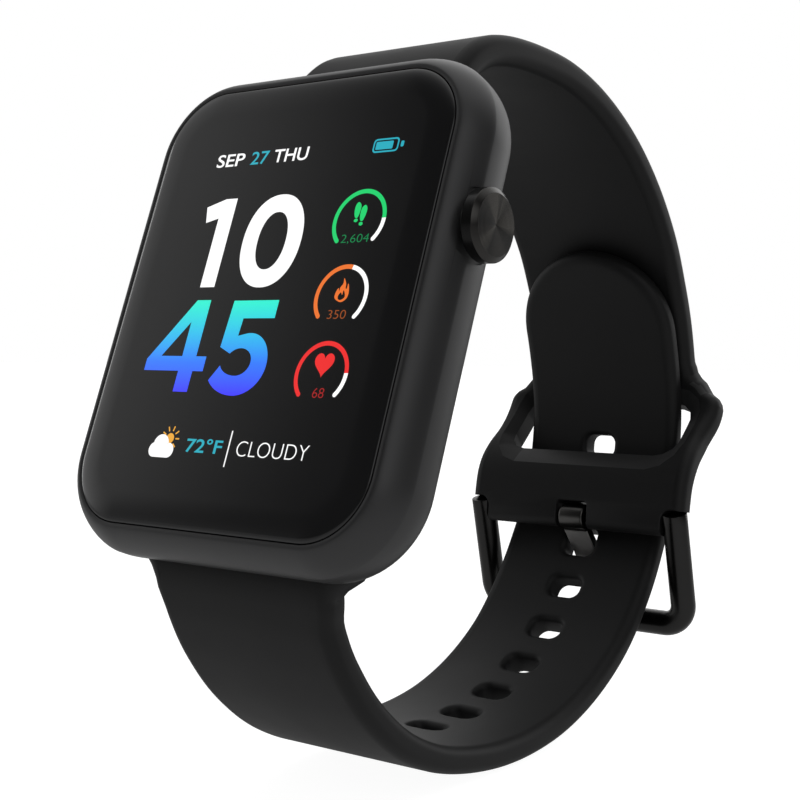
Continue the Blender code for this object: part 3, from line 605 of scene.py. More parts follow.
def build_crown():
    """The crown's cap, turned, with a broken edge and a bright chamfer round its face."""
    place = PLACE_WATCH @ Matrix.Translation(Vector(CROWN_CENTRE) * MM) @ Matrix.Rotation(pi / 2, 4, "Y")
    profile = [
        (CROWN_BACK_X, 0.83), (CROWN_BACK_X, CROWN_RADIUS - 0.22),
        (CROWN_BACK_X + 0.06, CROWN_RADIUS - 0.07), (CROWN_BACK_X + 0.2, CROWN_RADIUS),
        (CROWN_EDGE_X - 0.05, CROWN_RADIUS),
        (CROWN_EDGE_X, CROWN_RADIUS - 0.02), (CROWN_FACE_X - 0.03, CROWN_FACE_RADIUS + 0.03),
        (CROWN_FACE_X, CROWN_FACE_RADIUS - 0.02), (CROWN_FACE_X, CROWN_FACE_RADIUS * 0.6),
        (CROWN_FACE_X, CROWN_FACE_RADIUS * 0.2), (CROWN_FACE_X - 0.02, 0.05),
        (20.5, 0.05), (20.5, 0.83),
    ]
    shape = turned(profile, "Z", steps=128, closed=True)
    cap = piece("crown_head", shape, place, "crown_metal", "crown", ["crown_cap"], 12)
    cap.data.materials.append(LOOKS["crown_chamfer"])
    cap.data.materials.append(LOOKS["crown_face"])
    for face in cap.data.polygons:
        reach = max(hypot(*cap.data.vertices[i].co[:2]) for i in face.vertices)
        if face.normal.z > 0.2:
            face.material_index = 2 if reach < (CROWN_FACE_RADIUS + 0.01) * MM else 1


# Screen


def filled_curve(outlines, thickness):
    """A flat curve from closed outlines, where an inner outline is a hole."""
    curve = bpy.data.curves.new("outline", "CURVE")
    curve.dimensions = "2D"
    curve.fill_mode = "BOTH"
    curve.extrude = thickness / 2
    for outline in outlines:
        spline = curve.splines.new("POLY")
        spline.points.add(len(outline) - 1)
        for point, (x, y) in zip(spline.points, outline):
            point.co = (x, y, 0, 1)
        spline.use_cyclic_u = True
    return curve


def flat_shape(curve, lift=0.0):
    """A curve or text as a closed shape, lifted along Z."""
    obj = bpy.data.objects.new("flat", curve)
    WORLD.objects.link(obj)
    graph = bpy.context.evaluated_depsgraph_get()
    shape = bmesh.new()
    mesh = bpy.data.meshes.new_from_object(obj.evaluated_get(graph))
    shape.from_mesh(mesh)
    bpy.data.meshes.remove(mesh)
    bpy.data.objects.remove(obj)
    bmesh.ops.remove_doubles(shape, verts=shape.verts, dist=1e-5)
    bmesh.ops.translate(shape, vec=(0, 0, lift), verts=shape.verts)
    return shape


def lettering(words, left, right, base, height, weight=0.0):
    """Generic lettering in capitals and figures, fitted between two sides on a base line."""
    text = bpy.data.curves.new("lettering", "FONT")
    text.body = words
    text.size = 1.0
    text.offset = weight
    text.extrude = 0.5
    text.resolution_u = 6
    shape = flat_shape(text)
    xs = [v.co.x for v in shape.verts]
    ys = [v.co.y for v in shape.verts if v.co.y > -weight * 1.5]
    tall = max(ys) - min(0, min(ys))
    wide = (right - left) / (max(xs) - min(xs))
    for vert in shape.verts:
        x = left + (vert.co.x - min(xs)) * wide
        y = base + (vert.co.y - min(0, min(ys))) * height / tall
        z = PRINT_LOW if vert.co.z < 0 else PRINT_HIGH
        vert.co = (x, y, z)
    return shape


def joined(shapes):
    whole = bmesh.new()
    for shape in shapes:
        mesh = as_mesh("joined", shape)
        whole.from_mesh(mesh)
        bpy.data.meshes.remove(mesh)
    return whole


def drawn(outlines, lift=0.0):
    """A sign on the glass; its lift keeps it clear of the sign it lies over."""
    low, high = PRINT_LOW, PRINT_HIGH + lift
    return flat_shape(filled_curve(outlines, high - low), (low + high) / 2)


def show(name, shapes, material):
    piece(name, joined(shapes), PLACE_WATCH, material, "watch", (), 20)


RING_RADIUS, RING_WIDTH = 2.64, 0.40


def ring_arc(centre, start, end, cap_start=False, cap_end=False):
    """A band round part of a circle, with round ends where asked."""
    half = RING_WIDTH / 2

    def cap(at, turn):
        tip = arc(centre, RING_RADIUS, RING_RADIUS, at, at, 1)[0]
        return arc(tip, half, half, at + turn, at + turn + 180, 10)[1:-1]

    points = arc(centre, RING_RADIUS + half, RING_RADIUS + half, start, end, 40)
    points += cap(end, 0) if cap_end else []
    points += arc(centre, RING_RADIUS - half, RING_RADIUS - half, end, start, 40)
    points += cap(start, 180) if cap_start else []
    return points


def round_outline(knots, steps=8):
    """A closed smooth outline through a few points."""
    knots = [Vector(knot) for knot in knots]
    count = len(knots)
    points = []
    for i in range(count):
        four = [knots[(i + k - 1) % count] for k in range(4)]
        points += [tuple(between(*four, step / steps)) for step in range(steps)]
    return points


def ellipse(centre, across, along, tilt=0.0, steps=28):
    points = []
    turn = radians(tilt)
    for x, y in arc((0, 0), across, along, 0, 360, steps)[:-1]:
        points.append((centre[0] + x * cos(turn) - y * sin(turn), centre[1] + x * sin(turn) + y * cos(turn)))
    return points


def bar_stroke(centre, angle, start, end, width):
    """A short stroke that points away from a centre."""
    ahead = Vector((cos(radians(angle)), sin(radians(angle))))
    side = Vector((-ahead.y, ahead.x)) * width / 2
    first, last = Vector(centre) + ahead * start, Vector(centre) + ahead * end
    return [tuple(p) for p in (first - side, last - side, last + side, first + side)]


def figure_one():
    left, right, foot, head = -7.28, -5.5, 1.0, 9.6
    flag = [(-6.9, head), (-9.12, 8.9), (-8.76, 7.35), (left, 7.72)]
    return [[(right, foot), (right, head), *flag, (left, foot)]]


def figure_nought():
    def oval(half_width, half_height):
        points = []
        for step in range(72):
            angle = 2 * pi * step / 72
            x = abs(cos(angle)) ** 0.92 * (1 if cos(angle) > 0 else -1)
            y = abs(sin(angle)) ** 0.92 * (1 if sin(angle) > 0 else -1)
            points.append((0.05 + half_width * x, 5.26 + half_height * y))
        return points

    return [oval(3.48, 4.4), oval(1.68, 2.72)]


def figure_four():
    outer = [
        (-5.42, -0.25), (-7.1, -0.25), (-11.6, -5.85), (-11.6, -6.92), (-7.19, -6.92), (-7.19, -8.85),
        (-5.42, -8.85), (-5.42, -6.92), (-4.15, -6.92), (-4.15, -5.55), (-5.42, -5.55),
    ]
    inner = [(-7.17, -2.3), (-9.85, -5.55), (-7.17, -5.55)]
    return [outer, inner]


def figure_five():
    outline = [(-2.5, -0.35), (2.78, -0.35), (2.78, -2.0), (-0.88, -2.0), (-0.98, -3.62)]
    outline += arc((0.5, -6.2), 2.68, 2.84, 100, 0, 16)
    outline += arc((0.05, -6.2), 3.13, 2.84, 0, -90, 16)[1:]
    outline += arc((0.05, -6.2), 3.82, 2.84, -90, -147.7, 10)[1:]
    outline += arc((-0.2, -6.0), 2.08, 1.26, -164, -90, 10)
    outline += arc((-0.2, -6.0), 1.5, 1.26, -90, 90, 20)[1:]
    outline += arc((-0.2, -6.0), 1.53, 1.26, 90, 143, 6)[1:]
    outline.append((-2.75, -4.66))
    return [outline]


def cloud_outline():
    """The outside of three overlapping lobes on a flat base."""
    lobes = (((-7.53, -14.20), 0.67), ((-6.86, -13.72), 0.93), ((-5.84, -14.20), 0.67))
    points = [(-7.53, -14.87), (-5.84, -14.87)]
    points += arc(lobes[2][0], lobes[2][1], lobes[2][1], -90, 118, 16)[1:]
    points += arc(lobes[1][0], lobes[1][1], lobes[1][1], 8, 168, 14)
    points += arc(lobes[0][0], lobes[0][1], lobes[0][1], 100, 270, 14)[:-1]
    return points


def heart_outline(centre, half_width, half_height):
    points = []
    for step in range(48):
        t = 2 * pi * step / 48
        x = sin(t) ** 3
        y = (13 * cos(t) - 5 * cos(2 * t) - 2 * cos(3 * t) - cos(4 * t)) / 14.5
        points.append((centre[0] + half_width * x, centre[1] + half_height * y))
    return points


STEPS_AT, ENERGY_AT, PULSE_AT = (9.52, 6.74), (9.57, -0.10), (9.50, -6.87)
DATE_BASE, DATE_HEIGHT = 12.9, 1.27


def show_white():
    show("screen_white", [
        drawn(figure_one()),
        drawn(figure_nought()),
        drawn([ring_arc(STEPS_AT, -42, 2, cap_start=True)]),
        drawn([ring_arc(ENERGY_AT, -43, 78, cap_start=True)]),
        drawn([ring_arc(PULSE_AT, -42, 2, cap_start=True)]),
        drawn([cloud_outline()], 0.004),
        drawn([[(1.25, -15.28), (1.38, -15.28), (1.38, -12.12), (1.25, -12.12)]]),
        lettering("SEP", -9.42, -5.98, DATE_BASE, DATE_HEIGHT, 0.010),
        lettering("THU", -2.34, 1.74, DATE_BASE, DATE_HEIGHT, 0.010),
        lettering("CLOUDY", 2.28, 10.22, -14.30, 1.34, -0.018),
    ], "lit_white")


def show_cyan():
    """The battery sign, the day and the temperature."""
    height = 13.56
    battery = rounded_rectangle(1.38, 0.65, 0.36, 6, (10.46, height))
    battery_inside = rounded_rectangle(1.23, 0.50, 0.24, 6, (10.46, height))
    show("screen_cyan", [
        drawn([battery, battery_inside]),
        drawn([rounded_rectangle(0.92, 0.37, 0.10, 4, (10.30, height))]),
        drawn([rounded_rectangle(0.16, 0.27, 0.10, 4, (12.22, height))]),
        lettering("27", -5.12, -2.99, DATE_BASE, DATE_HEIGHT, 0.008),
        lettering("72°F", -3.74, 0.55, -14.22, 1.26, 0.012),
    ], "lit_cyan")


def show_green():
    """The ring of the steps, with two footprints."""
    left_foot = [
        (9.05, 8.40), (9.38, 8.12), (9.42, 7.62), (9.30, 7.02), (9.02, 6.98), (8.82, 7.45), (8.80, 8.08),
    ]
    right_foot = [
        (9.86, 8.10), (10.12, 7.78), (10.10, 7.20), (9.92, 6.68), (9.66, 6.70), (9.50, 7.25), (9.55, 7.85),
    ]
    show("screen_green", [
        drawn([ring_arc(STEPS_AT, 2, 224, cap_end=True)]),
        drawn([round_outline(left_foot)]),
        drawn([round_outline(right_foot)]),
        drawn([ellipse((9.17, 6.72), 0.21, 0.16, 8)]),
        drawn([ellipse((9.79, 6.39), 0.21, 0.17, -8)]),
    ], "lit_green")


def show_orange():
    """The ring of the energy, with a flame."""
    flame = [
        (9.62, -0.62), (10.12, -0.42), (10.33, 0.02), (10.24, 0.62), (10.06, 1.02), (10.02, 0.58),
        (9.88, 0.62), (9.80, 1.06), (9.50, 1.50), (9.52, 1.02), (9.30, 0.68), (9.26, 0.32),
        (9.12, 0.62), (8.92, 0.22), (8.96, -0.28),
    ]
    hollow = [
        (9.62, -0.44), (9.98, -0.22), (9.94, 0.12), (9.72, 0.42), (9.68, 0.02), (9.48, 0.24),
        (9.26, -0.04), (9.32, -0.34),
    ]
    ring = drawn([ring_arc(ENERGY_AT, 78, 222, cap_end=True)])
    show("screen_orange", [ring, drawn([round_outline(flame), round_outline(hollow)])], "lit_orange")


def show_red():
    """The ring of the pulse, with a heart."""
    ring = drawn([ring_arc(PULSE_AT, 2, 224, cap_end=True)])
    show("screen_red", [ring, drawn([heart_outline((9.55, -5.98), 1.04, 1.06)])], "lit_red")


def show_amber():
    """The sun behind the cloud."""
    sun_at = (-5.93, -13.12)
    rays = [drawn([bar_stroke(sun_at, angle, 0.68, 1.13, 0.13)]) for angle in (-42, 0, 38, 76, 114, 152)]
    show("screen_amber", [drawn([ellipse(sun_at, 0.47, 0.47)]), *rays], "lit_amber")


def build_screen():
    show_white()
    show_cyan()
    show("screen_minutes", [drawn(figure_four()), drawn(figure_five())], "lit_digits")
    show_green()
    show_orange()
    show_red()
    show_amber()
    thin = -0.012
    show("screen_steps", [lettering("2,604", 8.06, 11.06, 4.70, 0.76, thin)], "lit_green_thin")
    show("screen_energy", [lettering("350", 8.62, 10.58, -2.10, 0.78, thin)], "lit_orange_thin")
    show("screen_pulse", [lettering("68", 9.10, 10.30, -8.96, 0.86, thin)], "lit_red_thin")


# Straps


def strap_outline(widths, start, end, tip_radius=0.0):
    """The outside of a strap laid flat, as (along, across) points."""
    side = []
    count = 160
    last = end - tip_radius
    for i in range(count + 1):
        along = start + (last - start) * i / count
        side.append((along, blend(widths, along)))
    if tip_radius:
        side += arc((last, 0), tip_radius, side[-1][1], 90, 0, 30)[1:]
    mirrored = [(along, -across) for along, across in reversed(side)]
    return side + (mirrored[1:] if tip_radius else mirrored)


def rounded_plate(outline):
    """A flat strap from its outline, with rounded edges."""
    curve = filled_curve([outline], STRAP_THICKNESS - 2 * STRAP_ROUNDING)
    curve.bevel_depth = STRAP_ROUNDING
    curve.bevel_resolution = 5
    curve.offset = -STRAP_ROUNDING
    return flat_shape(curve)


# How far a cutter reaches past the face of a flat strap.
CUTTER_REACH = 0.5


def flared_hole(outline_at, flare, steps=5, inner_flare=None):
    """A cutter through a flat strap that opens out in a curve at both faces.

    outline_at gives the hole's outline, grown outwards by a distance.
    """
    rings = []
    for face, opening in ((-1, inner_flare or flare), (1, flare)):
        half = [level(outline_at(opening), face * (STRAP_THICKNESS / 2 + CUTTER_REACH))]
        for step in range(steps + 1):
            angle = step / steps * pi / 2
            grow, depth = opening * (1 - sin(angle)), opening * (1 - cos(angle))
            half.append(level(outline_at(grow), face * (STRAP_THICKNESS / 2 - depth)))
        rings += half if face < 0 else half[::-1]
    return loft(rings)


def ledged_hole(outline_at, flare):
    """A cutter through a flat strap with a flat sloping ledge at its inner face."""
    face = STRAP_THICKNESS / 2
    return loft([
        level(outline_at(WINDOW_LEDGE * (1 + CUTTER_REACH / WINDOW_LEDGE_DEPTH)), -face - CUTTER_REACH),
        level(outline_at(0.0), -face + WINDOW_LEDGE_DEPTH),
        level(outline_at(0.0), face - flare),
        level(outline_at(flare), face),
        level(outline_at(flare), face + CUTTER_REACH),
    ])


def bend(shape, knots, outward, thickness):
    """Bends a flat strap along its path and gives it its thickness there."""
    path = smooth_path(knots, 0.25)
    aheads = directions(path)
    total = sum((b - a).length for a, b in zip(path, path[1:]))
    step = total / (len(path) - 1)
    for vert in shape.verts:
        along, across, out = vert.co
        spot = min(max(along / step, 0.0), len(path) - 1.001)
        index = int(spot)
        point = path[index].lerp(path[index + 1], spot - index)
        ahead = aheads[index].lerp(aheads[index + 1], spot - index).normalized()
        point = point + ahead * (along - (index + spot - index) * step)
        normal = Vector((-ahead.y, ahead.x)) * outward
        out *= blend(thickness, along) / STRAP_THICKNESS
        vert.co = (across, point.x + normal.x * out, point.y + normal.y * out)
    bmesh.ops.recalc_face_normals(shape, faces=shape.faces)
    return shape


def slice_along(shape, low, high, spacing):
    """Cuts the faces of a flat strap across at even steps, so that it can bend."""
    count = int((high - low) / spacing)
    for i in range(1, count):
        geometry = shape.verts[:] + shape.edges[:] + shape.faces[:]
        along = low + (high - low) * i / count
        bmesh.ops.bisect_plane(shape, geom=geometry, plane_co=(along, 0, 0), plane_no=(1, 0, 0), dist=1e-5)


def path_length(knots):
    path = smooth_path(knots, 0.25)
    return sum((b - a).length for a, b in zip(path, path[1:]))


def along_of(knots, wanted):
    """How far along a strap its path comes nearest to a point."""
    path = smooth_path(knots, 0.1)
    nearest = min(range(len(path)), key=lambda i: (path[i] - Vector(wanted)).length)
    return path_length(knots) * nearest / (len(path) - 1)


# Half widths and thicknesses of the straps, by share of their length from the case.
UPPER_WIDTHS = [
    (0, LUG_HALF_WIDTH), (0.02, LUG_HALF_WIDTH), (0.06, UPPER_HALF_WIDTH), (0.75, UPPER_HALF_WIDTH),
    (0.765, 10.5), (0.785, 12.0), (0.803, 13.75), (0.812, EAR_HALF_WIDTH), (0.82, EAR_HALF_WIDTH),
    (0.867, PLATE_HALF_WIDTH - 0.25), (0.93, PLATE_HALF_WIDTH), (1.0, PLATE_HALF_WIDTH),
]
UPPER_THICKNESS = [(0, 3.1), (0.08, 3.0), (0.2, 2.9), (0.7, 2.9), (0.9, 3.0), (0.94, 3.1), (1.0, 2.9)]
LOWER_WIDTHS = [
    (0, 12.3), (0.014, 12.3), (0.022, 12.5), (0.044, 10.4), (0.07, LOWER_HALF_WIDTH),
    (0.60, LOWER_HALF_WIDTH), (0.80, TIP_HALF_WIDTH), (1.0, TIP_HALF_WIDTH),
]
LOWER_THICKNESS = [
    (0, LUG_THICKNESS), (0.04, 3.1), (0.10, 2.85), (0.3, 2.6), (0.65, 2.65), (0.74, 2.5), (1.0, 2.4),
]


def lengthened(shares, total):
    """A table by share of a length as a table by distance."""
    return [(share * total, value) for share, value in shares]


def build_buckle_strap():
    total = path_length(UPPER_KNOTS)
    start, end = -LUG_THICKNESS / 2, total + 0.1
    shape = rounded_plate(strap_outline(lengthened(UPPER_WIDTHS, total), start, end))
    window_at = along_of(UPPER_KNOTS, WINDOW_AT)
    foot = along_of(UPPER_KNOTS, PLATE_FOOT_AT)

    def window(grow):
        corner = WINDOW_CORNER + grow * OCTAGON_GROWTH
        half_width = WINDOW_HALF_WIDTH + 0.6 * grow
        return rounded_rectangle(WINDOW_HALF_HEIGHT + grow, half_width, corner, 3, (window_at, 0))

    def tang_notch(grow):
        return rounded_rectangle(3.0 + grow, 2.0 + grow, 0.5, 5, (foot + 0.25 + 3.0, 0))

    cutters = [ledged_hole(window, 0.3), flared_hole(tang_notch, 0.25, 3)]
    for side in (-1, 1):

        def arm_notch(grow, side=side):
            middle = (foot + 0.45 + 3.0, side * (PLATE_FOOT_HALF_WIDTH + 3.0))
            return rounded_rectangle(3.0 + grow, 3.0 + grow, 1.2, 8, middle)

        cutters.append(flared_hole(arm_notch, 0.25, 3))
    shape = combine(shape, cutters)
    # Faces of the sloping ledge by the window take the lighter silicone: painted light.
    for face in shape.faces:
        along, across, _ = face.calc_center_median()
        near = abs(along - window_at) < 7 and -8.8 < across < WINDOW_HALF_WIDTH + 1.4
        face.material_index = int(near and -0.98 < face.normal.z < -0.6)
    slice_along(shape, start, end, 0.7)
    bend(shape, UPPER_KNOTS, 1, lengthened(UPPER_THICKNESS, total))
    replaced = ["buckle_strap"]
    strap = piece("buckle_side_strap", shape, PLACE_ROW, "silicone", "watch", replaced, 17)
    strap.data.materials.append(LOOKS["silicone_ledge_painted_light"])


def build_hole_strap():
    total = path_length(LOWER_KNOTS)
    start, end = -LUG_THICKNESS / 2, total
    shape = rounded_plate(strap_outline(lengthened(LOWER_WIDTHS, total), start, end, TIP_HALF_WIDTH))
    tang_hole = along_of(LOWER_KNOTS, TANG_HOLE_AT)
    cutters = []
    for k in range(HOLE_COUNT):
        middle = (tang_hole + (2 - k) * HOLE_PITCH, 0)
        half_length = (TANG_HOLE_LENGTH if k == 2 else HOLE_LENGTH) / 2

        def hole(grow, middle=middle, half_length=half_length):
            half_width = HOLE_WIDTH / 2 + 0.8 * grow
            return rounded_rectangle(half_length + grow, half_width, HOLE_CORNER + grow, 8, middle)

        cutters.append(flared_hole(hole, 0.4, inner_flare=0.75))
    shape = combine(shape, cutters)
    slice_along(shape, start, end, 0.7)
    bend(shape, LOWER_KNOTS, -1, lengthened(LOWER_THICKNESS, total))
    piece("hole_side_strap", shape, PLACE_ROW, "silicone", "watch", ["hole_strap"], 28)


# Buckle

# The eased end of the wire: how far in from the end, and how much thinner there.
WIRE_END = ((0, 0.12), (0.03, 0.03), (0.12, 0))


def build_buckle():
    """The bent wire, whose arms hang on the hinge pin, and the pin."""
    pin = Vector((0, PIN_Y, PIN_Z))
    bar = Vector((0, BAR_Y, BAR_Z))
    down = (bar - pin).normalized()
    reach = (bar - pin).length
    path = [(ARM_X, -ARM_OVERHANG), (ARM_X, 0.0), (ARM_X, reach - WIRE_BEND)]
    for x, along in arc((ARM_X - WIRE_BEND, reach - WIRE_BEND), WIRE_BEND, WIRE_BEND, 0, 90, 16)[1:]:
        path.append((x, along))
    path += [(-x, along) for x, along in reversed(path)]
    points = [pin + Vector((x, 0, 0)) + down * along for x, along in path]
    across_plane = Vector((1, 0, 0)).cross(down).normalized()
    rings = []
    for i, point in enumerate(points):
        ahead = (points[min(i + 1, len(points) - 1)] - points[max(i - 1, 0)]).normalized()
        side = ahead.cross(across_plane).normalized()
        spots = [(point, WIRE_RADIUS)]
        if i in (0, len(points) - 1):
            inwards = ahead if i == 0 else -ahead
            spots = [(point + inwards * inset, WIRE_RADIUS - less) for inset, less in WIRE_END]
            if i:
                spots.reverse()
        for spot, size in spots:
            ring = []
            for step in range(32):
                angle = 2 * pi * step / 32
                ring.append(spot + size * (side * cos(angle) + across_plane * sin(angle)))
            rings.append(ring)
    bore = rod(PIN_RADIUS + 0.04, -PIN_HALF_LENGTH - 0.05, PIN_HALF_LENGTH + 0.05, "X", tuple(pin), 32)
    shape, body = combine(loft(rings), [bore]), "buckle_frame"
    piece("buckle_wire", shape, PLACE_ROW, "black_steel", body, ["buckle_frame"], 40)
    tip = [(PIN_HALF_LENGTH - 0.12, PIN_RADIUS), (PIN_HALF_LENGTH, PIN_RADIUS - 0.12)]
    profile = [(-along, radius) for along, radius in reversed(tip)] + tip
    shape = turned(profile, "X", tuple(pin), 32)
    piece("hinge_pin", shape, PLACE_ROW, "black_steel", "watch", ["buckle_pin"])


def build_tang():
    """A strip rolled round the pin, whose tongue goes through the strap and rests on the buckle's bar."""
    section = rounded_rectangle(TANG_WIDTH / 2, TANG_THICKNESS / 2, TANG_EASE, 4)
    tongue = [(54.1, -25.7), (55.5, -27.4), (56.9, -29.9), (57.6, -32.8), (57.72, -35.4), (57.66, -36.2)]
    roll_radius = PIN_RADIUS + 0.08 + 0.38
    roll = []
    for step in range(25):
        angle = radians(-10 + 280 * step / 24)
        roll.append((PIN_Y + roll_radius * cos(angle), PIN_Z + roll_radius * sin(angle)))
    knots = smooth_path([roll[-1], (53.25, -24.62), *tongue], 0.35)
    thin = [(x * 0.99, o * 0.70) for x, o in section]
    rolled = swept([Vector(p) for p in roll], thin)
    shape = combine(rolled, [swept(knots, section)], "UNION")
    # The tongue's inner face low down takes the lighter steel, a painted highlight.
    for face in shape.faces:
        inner = face.calc_center_median().z < PAINTED_HIGHLIGHT_BELOW and face.normal.y < -0.3
        face.material_index = int(inner)
    tang = piece("tang", shape, PLACE_ROW, "tang_steel", "buckle_tang", ["buckle_tang"], 40)
    tang.data.materials.append(LOOKS["tongue_painted_highlight"])


# Back

CONTACT_X, CONTACT_Y = 2.6, -8.6


def build_cover():
    """The back cover, with its eased edge, hump and holes."""
    half_width, half_height, corner, ease = 13.5, 16.1, 3.8, 0.12
    outline = rounded_rectangle(half_width, half_height, corner)
    eased = rounded_rectangle(half_width - ease, half_height - ease, corner - ease)
    cover = loft([level(eased, -8.5), level(outline, -8.5 + ease), level(outline, -7.65)])
    hump = []
    for step in range(13):
        t = step / 12
        hump.append((-9.55 + 1.1 * t, 10.6 + 1.5 * t**2.2))
    hump = [(-9.55, 10.45), (-9.53, 10.56), *hump[1:], (-8.2, 12.1)]
    cover = combine(cover, [turned(hump, steps=96)], "UNION")
    cutters = [turned([(-7, 9.6), (-8.75, 9.6)], steps=64), rod(6.7, -11, -8, steps=96)]
    for x, y in SCREW_SPOTS:
        cutters.append(rod(0.62, -9, -7, "Z", (x, y, 0), 24))
        cutters.append(rod(1.15, -9, -8.05, "Z", (x, y, 0), 40))
    for side in (-1, 1):
        cutters.append(rod(0.95, -11, -8, "Z", (side * CONTACT_X, CONTACT_Y, 0), 40))
    cover = combine(cover, cutters)
    piece("back_shell", cover, PLACE_WATCH, "back_plastic", "watch", ["back_cover"], 30)


def build_lens():
    """The domed sensor lens, with the coloured windows that show through it."""
    dome = [(-8.95, 6.6), (-9.58, 6.6)]
    for step in range(17):
        angle = step / 16 * pi / 2
        dome.append((-9.6 - (HUMP_DEPTH - 9.6) * sin(angle), 6.6 - 2.6 * (1 - cos(angle))))
    lens = turned(dome, steps=96)
    piece("lens_dome", lens, PLACE_WATCH, "lens_dark", "watch", ["sensor_lens"])
    for name, x, half, material, slot in (
        ("lens_window_a", -2.8, 0.8, "led_green", "led_green"),
        ("lens_window_b", 2.8, 0.8, "led_green", "led_green"),
        ("lens_window_c", 0.0, 1.25, "sensor_red", "sensor_red"),
    ):
        outline = rounded_rectangle(half, half, 0.3, 6, (x, 0))
        shape = loft([level(outline, -HUMP_DEPTH - 0.01), level(outline, -HUMP_DEPTH + 0.1)])
        piece(name, shape, PLACE_WATCH, material, "watch")


def build_contacts():
    profile = [(-9.7, 0.3), (-9.7, 0.68), (-9.66, 0.78), (-9.58, 0.85), (-8.45, 0.85)]
    for side, tag in ((-1, "a"), (1, "b")):
        contact = turned(profile, "Z", (side * CONTACT_X, CONTACT_Y, 0), 48)
        node = f"charge_contact_{tag}"
        piece(f"contact_pad_{tag}", contact, PLACE_WATCH, "contact_gold", "watch", [node])


def build_screws():
    """Four screws with a cross in the head."""
    head = [(-8.45, 0.5), (-8.44, 0.85), (-8.38, 0.97), (-8.3, 1.0), (-8.1, 1.0)]
    shank = [(-8.1, 0.42), (-5.9, 0.42)]
    for i, (x, y) in enumerate(SCREW_SPOTS):
        screw = turned(head + shank, "Z", (x, y, 0), 40)
        cross = []
        for long, short in ((0.6, 0.12), (0.12, 0.6)):
            cross.append(box((x - long, y - short, -9), (x + long, y + short, -8.25)))
        shape, node = combine(screw, cross), f"back_screw_{i + 1}"
        piece(f"screw_{i + 1}", shape, PLACE_WATCH, "bright_steel", "watch", [node])


# Each coil spring, the joint that presses it, and the x of its end that stays.
SPRINGS = (
    ("crown_spring", "crown_press", 18.55),
    ("upper_bar_spring", "upper_release_slide", -8.9),
    ("lower_bar_spring", "lower_release_slide", -8.9),
)


def build_springs():
    """The coil springs, as copies of the CAD springs carried on the watch."""
    for name, joint, fixed in SPRINGS:
        node = frame["nodes"][name]
        coil = bpy.data.objects.new(name.replace("spring", "coil"), node.data.copy())
        WORLD.objects.link(coil)
        coil.matrix_world = node.matrix_world
        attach(coil, "watch")
        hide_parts(name)
        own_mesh(coil)


def dress_frame():
    """Every CAD node that stays gets its slot's material."""
    slots = {part["node"]: part["material_slot"] for part in frame["record"]["subparts"]}
    for name, node in frame["nodes"].items():
        node.data.materials.clear()
        node.data.materials.append(LOOKS[slots[name]])


# Studio


def aim(obj, target):
    obj.rotation_mode = "QUATERNION"
    obj.rotation_quaternion = (Vector(target) - obj.location).to_track_quat("-Z", "Y")


def softbox(name, place, target, width, height, glow):
    """A rectangular light; glow is how bright its face is."""
    light = bpy.data.lights.new(name, "AREA")
    light.shape = "RECTANGLE"
    light.size, light.size_y = width, height
    light.energy = glow * pi * width * height
    obj = bpy.data.objects.new(name, light)
    WORLD.objects.link(obj)
    obj.location = place
    aim(obj, target)


# How strongly the floor shines on the watch, by distance from the origin in metres.
FLOOR_GLOW_NEAR, FLOOR_GLOW_FAR = 0.37, 0.15
FLOOR_NEAR, FLOOR_FAR = 0.03, 0.26
FLOOR_SEEN = 0.95


def build_floor():
    """A pale floor just under the watch, whose glow on the watch fades outwards."""
    z = CAD_BOX[0].z / MM - 0.3
    outline = rounded_rectangle(2500, 2500, 400, 6)
    mesh = as_mesh("floor", loft([level(outline, z - 4), level(outline, z)]), MM)
    look = grainy("floor", (0.30, 0.30, 0.30), 0.8, 3.0, 0.02, specular=0.05, shift=0.01, blotch=300)
    seen = look.add("ShaderNodeLightPath").outputs["Is Camera Ray"]
    reach = look.add("ShaderNodeVectorMath", {0: look.where}, operation="LENGTH")
    inputs = {"Value": reach.outputs["Value"], "From Min": FLOOR_NEAR, "From Max": FLOOR_FAR}
    inputs |= {"To Min": FLOOR_GLOW_NEAR, "To Max": FLOOR_GLOW_FAR}
    glow = look.add("ShaderNodeMapRange", inputs, interpolation_type="SMOOTHSTEP")
    strength = look.spread(seen, glow.outputs[0], FLOOR_SEEN)
    look.links.new(strength, look.shader.inputs["Emission Strength"])
    look.set(Emission_Color=(1, 1, 1, 1))
    mesh.materials.append(look.material)
    floor = bpy.data.objects.new("floor", mesh)
    WORLD.objects.link(floor)


# The studio as soft patches of light: (direction, full within this angle, gone beyond this, strength).
AMBIENT = 0.04
PATCHES = [
    ((-0.89, -0.22, 0.38), 15, 31, 0.57),
    ((-0.90, -0.35, -0.10), 8, 40, 0.35),
    ((-0.20, 0.97, 0.05), 20, 62, 0.9),
    ((-0.10, 0.35, 0.93), 22, 62, 0.88),
    ((0.75, -0.45, 0.45), 8, 34, 1.0),
    ((-0.85, 0.10, -0.35), 10, 50, 0.35),
]


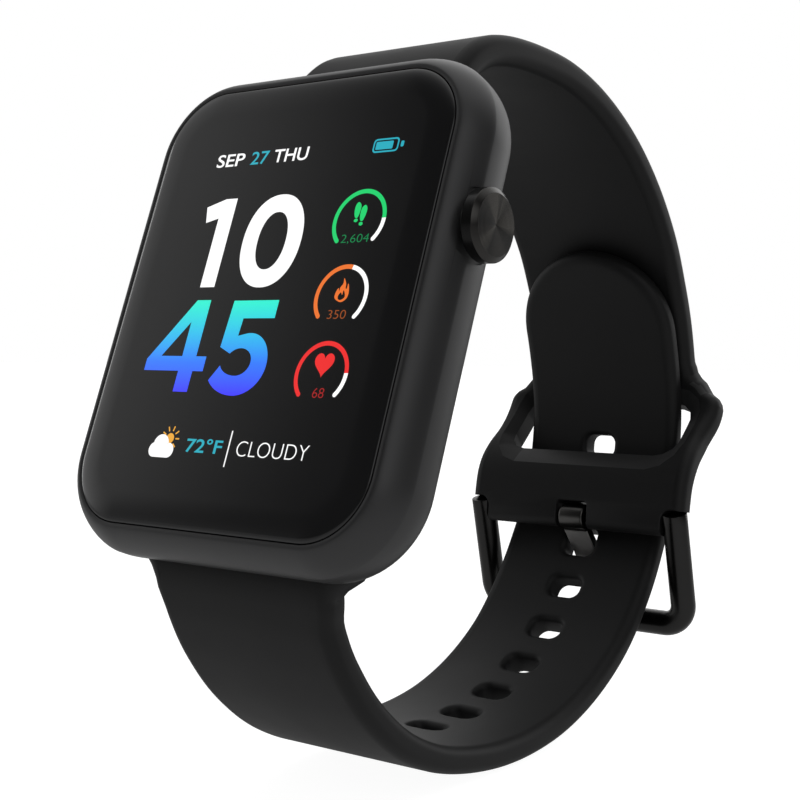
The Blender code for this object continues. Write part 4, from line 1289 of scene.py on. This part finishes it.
def build_world():
    """White where it is seen directly; elsewhere soft patches of light on a dim surround."""
    world = bpy.data.worlds.new("studio")
    bpy.context.scene.world = world
    world.use_nodes = True
    tree = world.node_tree
    where = add_node(tree, "ShaderNodeTexCoord").outputs["Generated"]
    total = AMBIENT
    for direction, inner, outer, strength in PATCHES:
        towards = Vector(direction).normalized()
        dot = add_node(tree, "ShaderNodeVectorMath", {0: where, 1: towards}, operation="DOT_PRODUCT")
        angle = add_node(tree, "ShaderNodeMath", {0: dot.outputs["Value"]}, operation="ARCCOSINE")
        inputs = {"Value": angle.outputs[0], "From Min": radians(outer), "From Max": radians(inner)}
        inputs |= {"To Min": 0.0, "To Max": strength}
        patch = add_node(tree, "ShaderNodeMapRange", inputs, interpolation_type="SMOOTHERSTEP")
        total = add_node(tree, "ShaderNodeMath", {0: patch.outputs[0], 1: total}).outputs[0]
    direct = add_node(tree, "ShaderNodeLightPath").outputs["Is Camera Ray"]
    seen = add_node(tree, "ShaderNodeMath", {0: total, 1: direct}, operation="MAXIMUM")
    background = tree.nodes["Background"]
    tree.links.new(seen.outputs[0], background.inputs["Strength"])
    background.inputs["Color"].default_value = (1, 1, 1, 1)


# The photo's view of the watch, in millimetres and directions in the row frame.
CAMERA_AT = (88.645, -103.179, -0.592)
CAMERA_AHEAD = (-0.61555, 0.78730, -0.03562)
CAMERA_UP = (-0.0294, 0.0222, 0.9993)
CAMERA_LENS, CAMERA_SENSOR = 66.56, 36.0


def build_camera():
    data = bpy.data.cameras.new("camera")
    data.lens = CAMERA_LENS
    data.sensor_width = CAMERA_SENSOR
    data.clip_start, data.clip_end = 0.005, 20
    camera = bpy.data.objects.new("camera", data)
    WORLD.objects.link(camera)
    ahead = Vector(CAMERA_AHEAD).normalized()
    right = ahead.cross(Vector(CAMERA_UP)).normalized()
    up = right.cross(ahead)
    turn = Matrix((right, up, -ahead)).transposed().to_4x4()
    camera.matrix_world = Matrix.Translation(Vector(CAMERA_AT) * MM) @ turn
    bpy.context.scene.camera = camera


def build_lights():
    """A narrow softbox at the left and a wider one behind, which draw highlights on the metal."""
    middle = (0, 0.015, 0)
    softbox("left_strip", (-0.46, -0.02, 0.05), middle, 0.05, 0.34, 2.0)
    softbox("back_box", (0.20, 0.50, 0.12), middle, 0.20, 0.30, 1.0)


build_case()
build_glass()
build_crown()
build_screen()
build_buckle_strap()
build_hole_strap()
build_buckle()
build_tang()
build_cover()
build_lens()
build_contacts()
build_screws()
dress_frame()
build_springs()
build_floor()
build_world()
build_lights()
build_camera()
bpy.context.scene.view_settings.view_transform = "Standard"
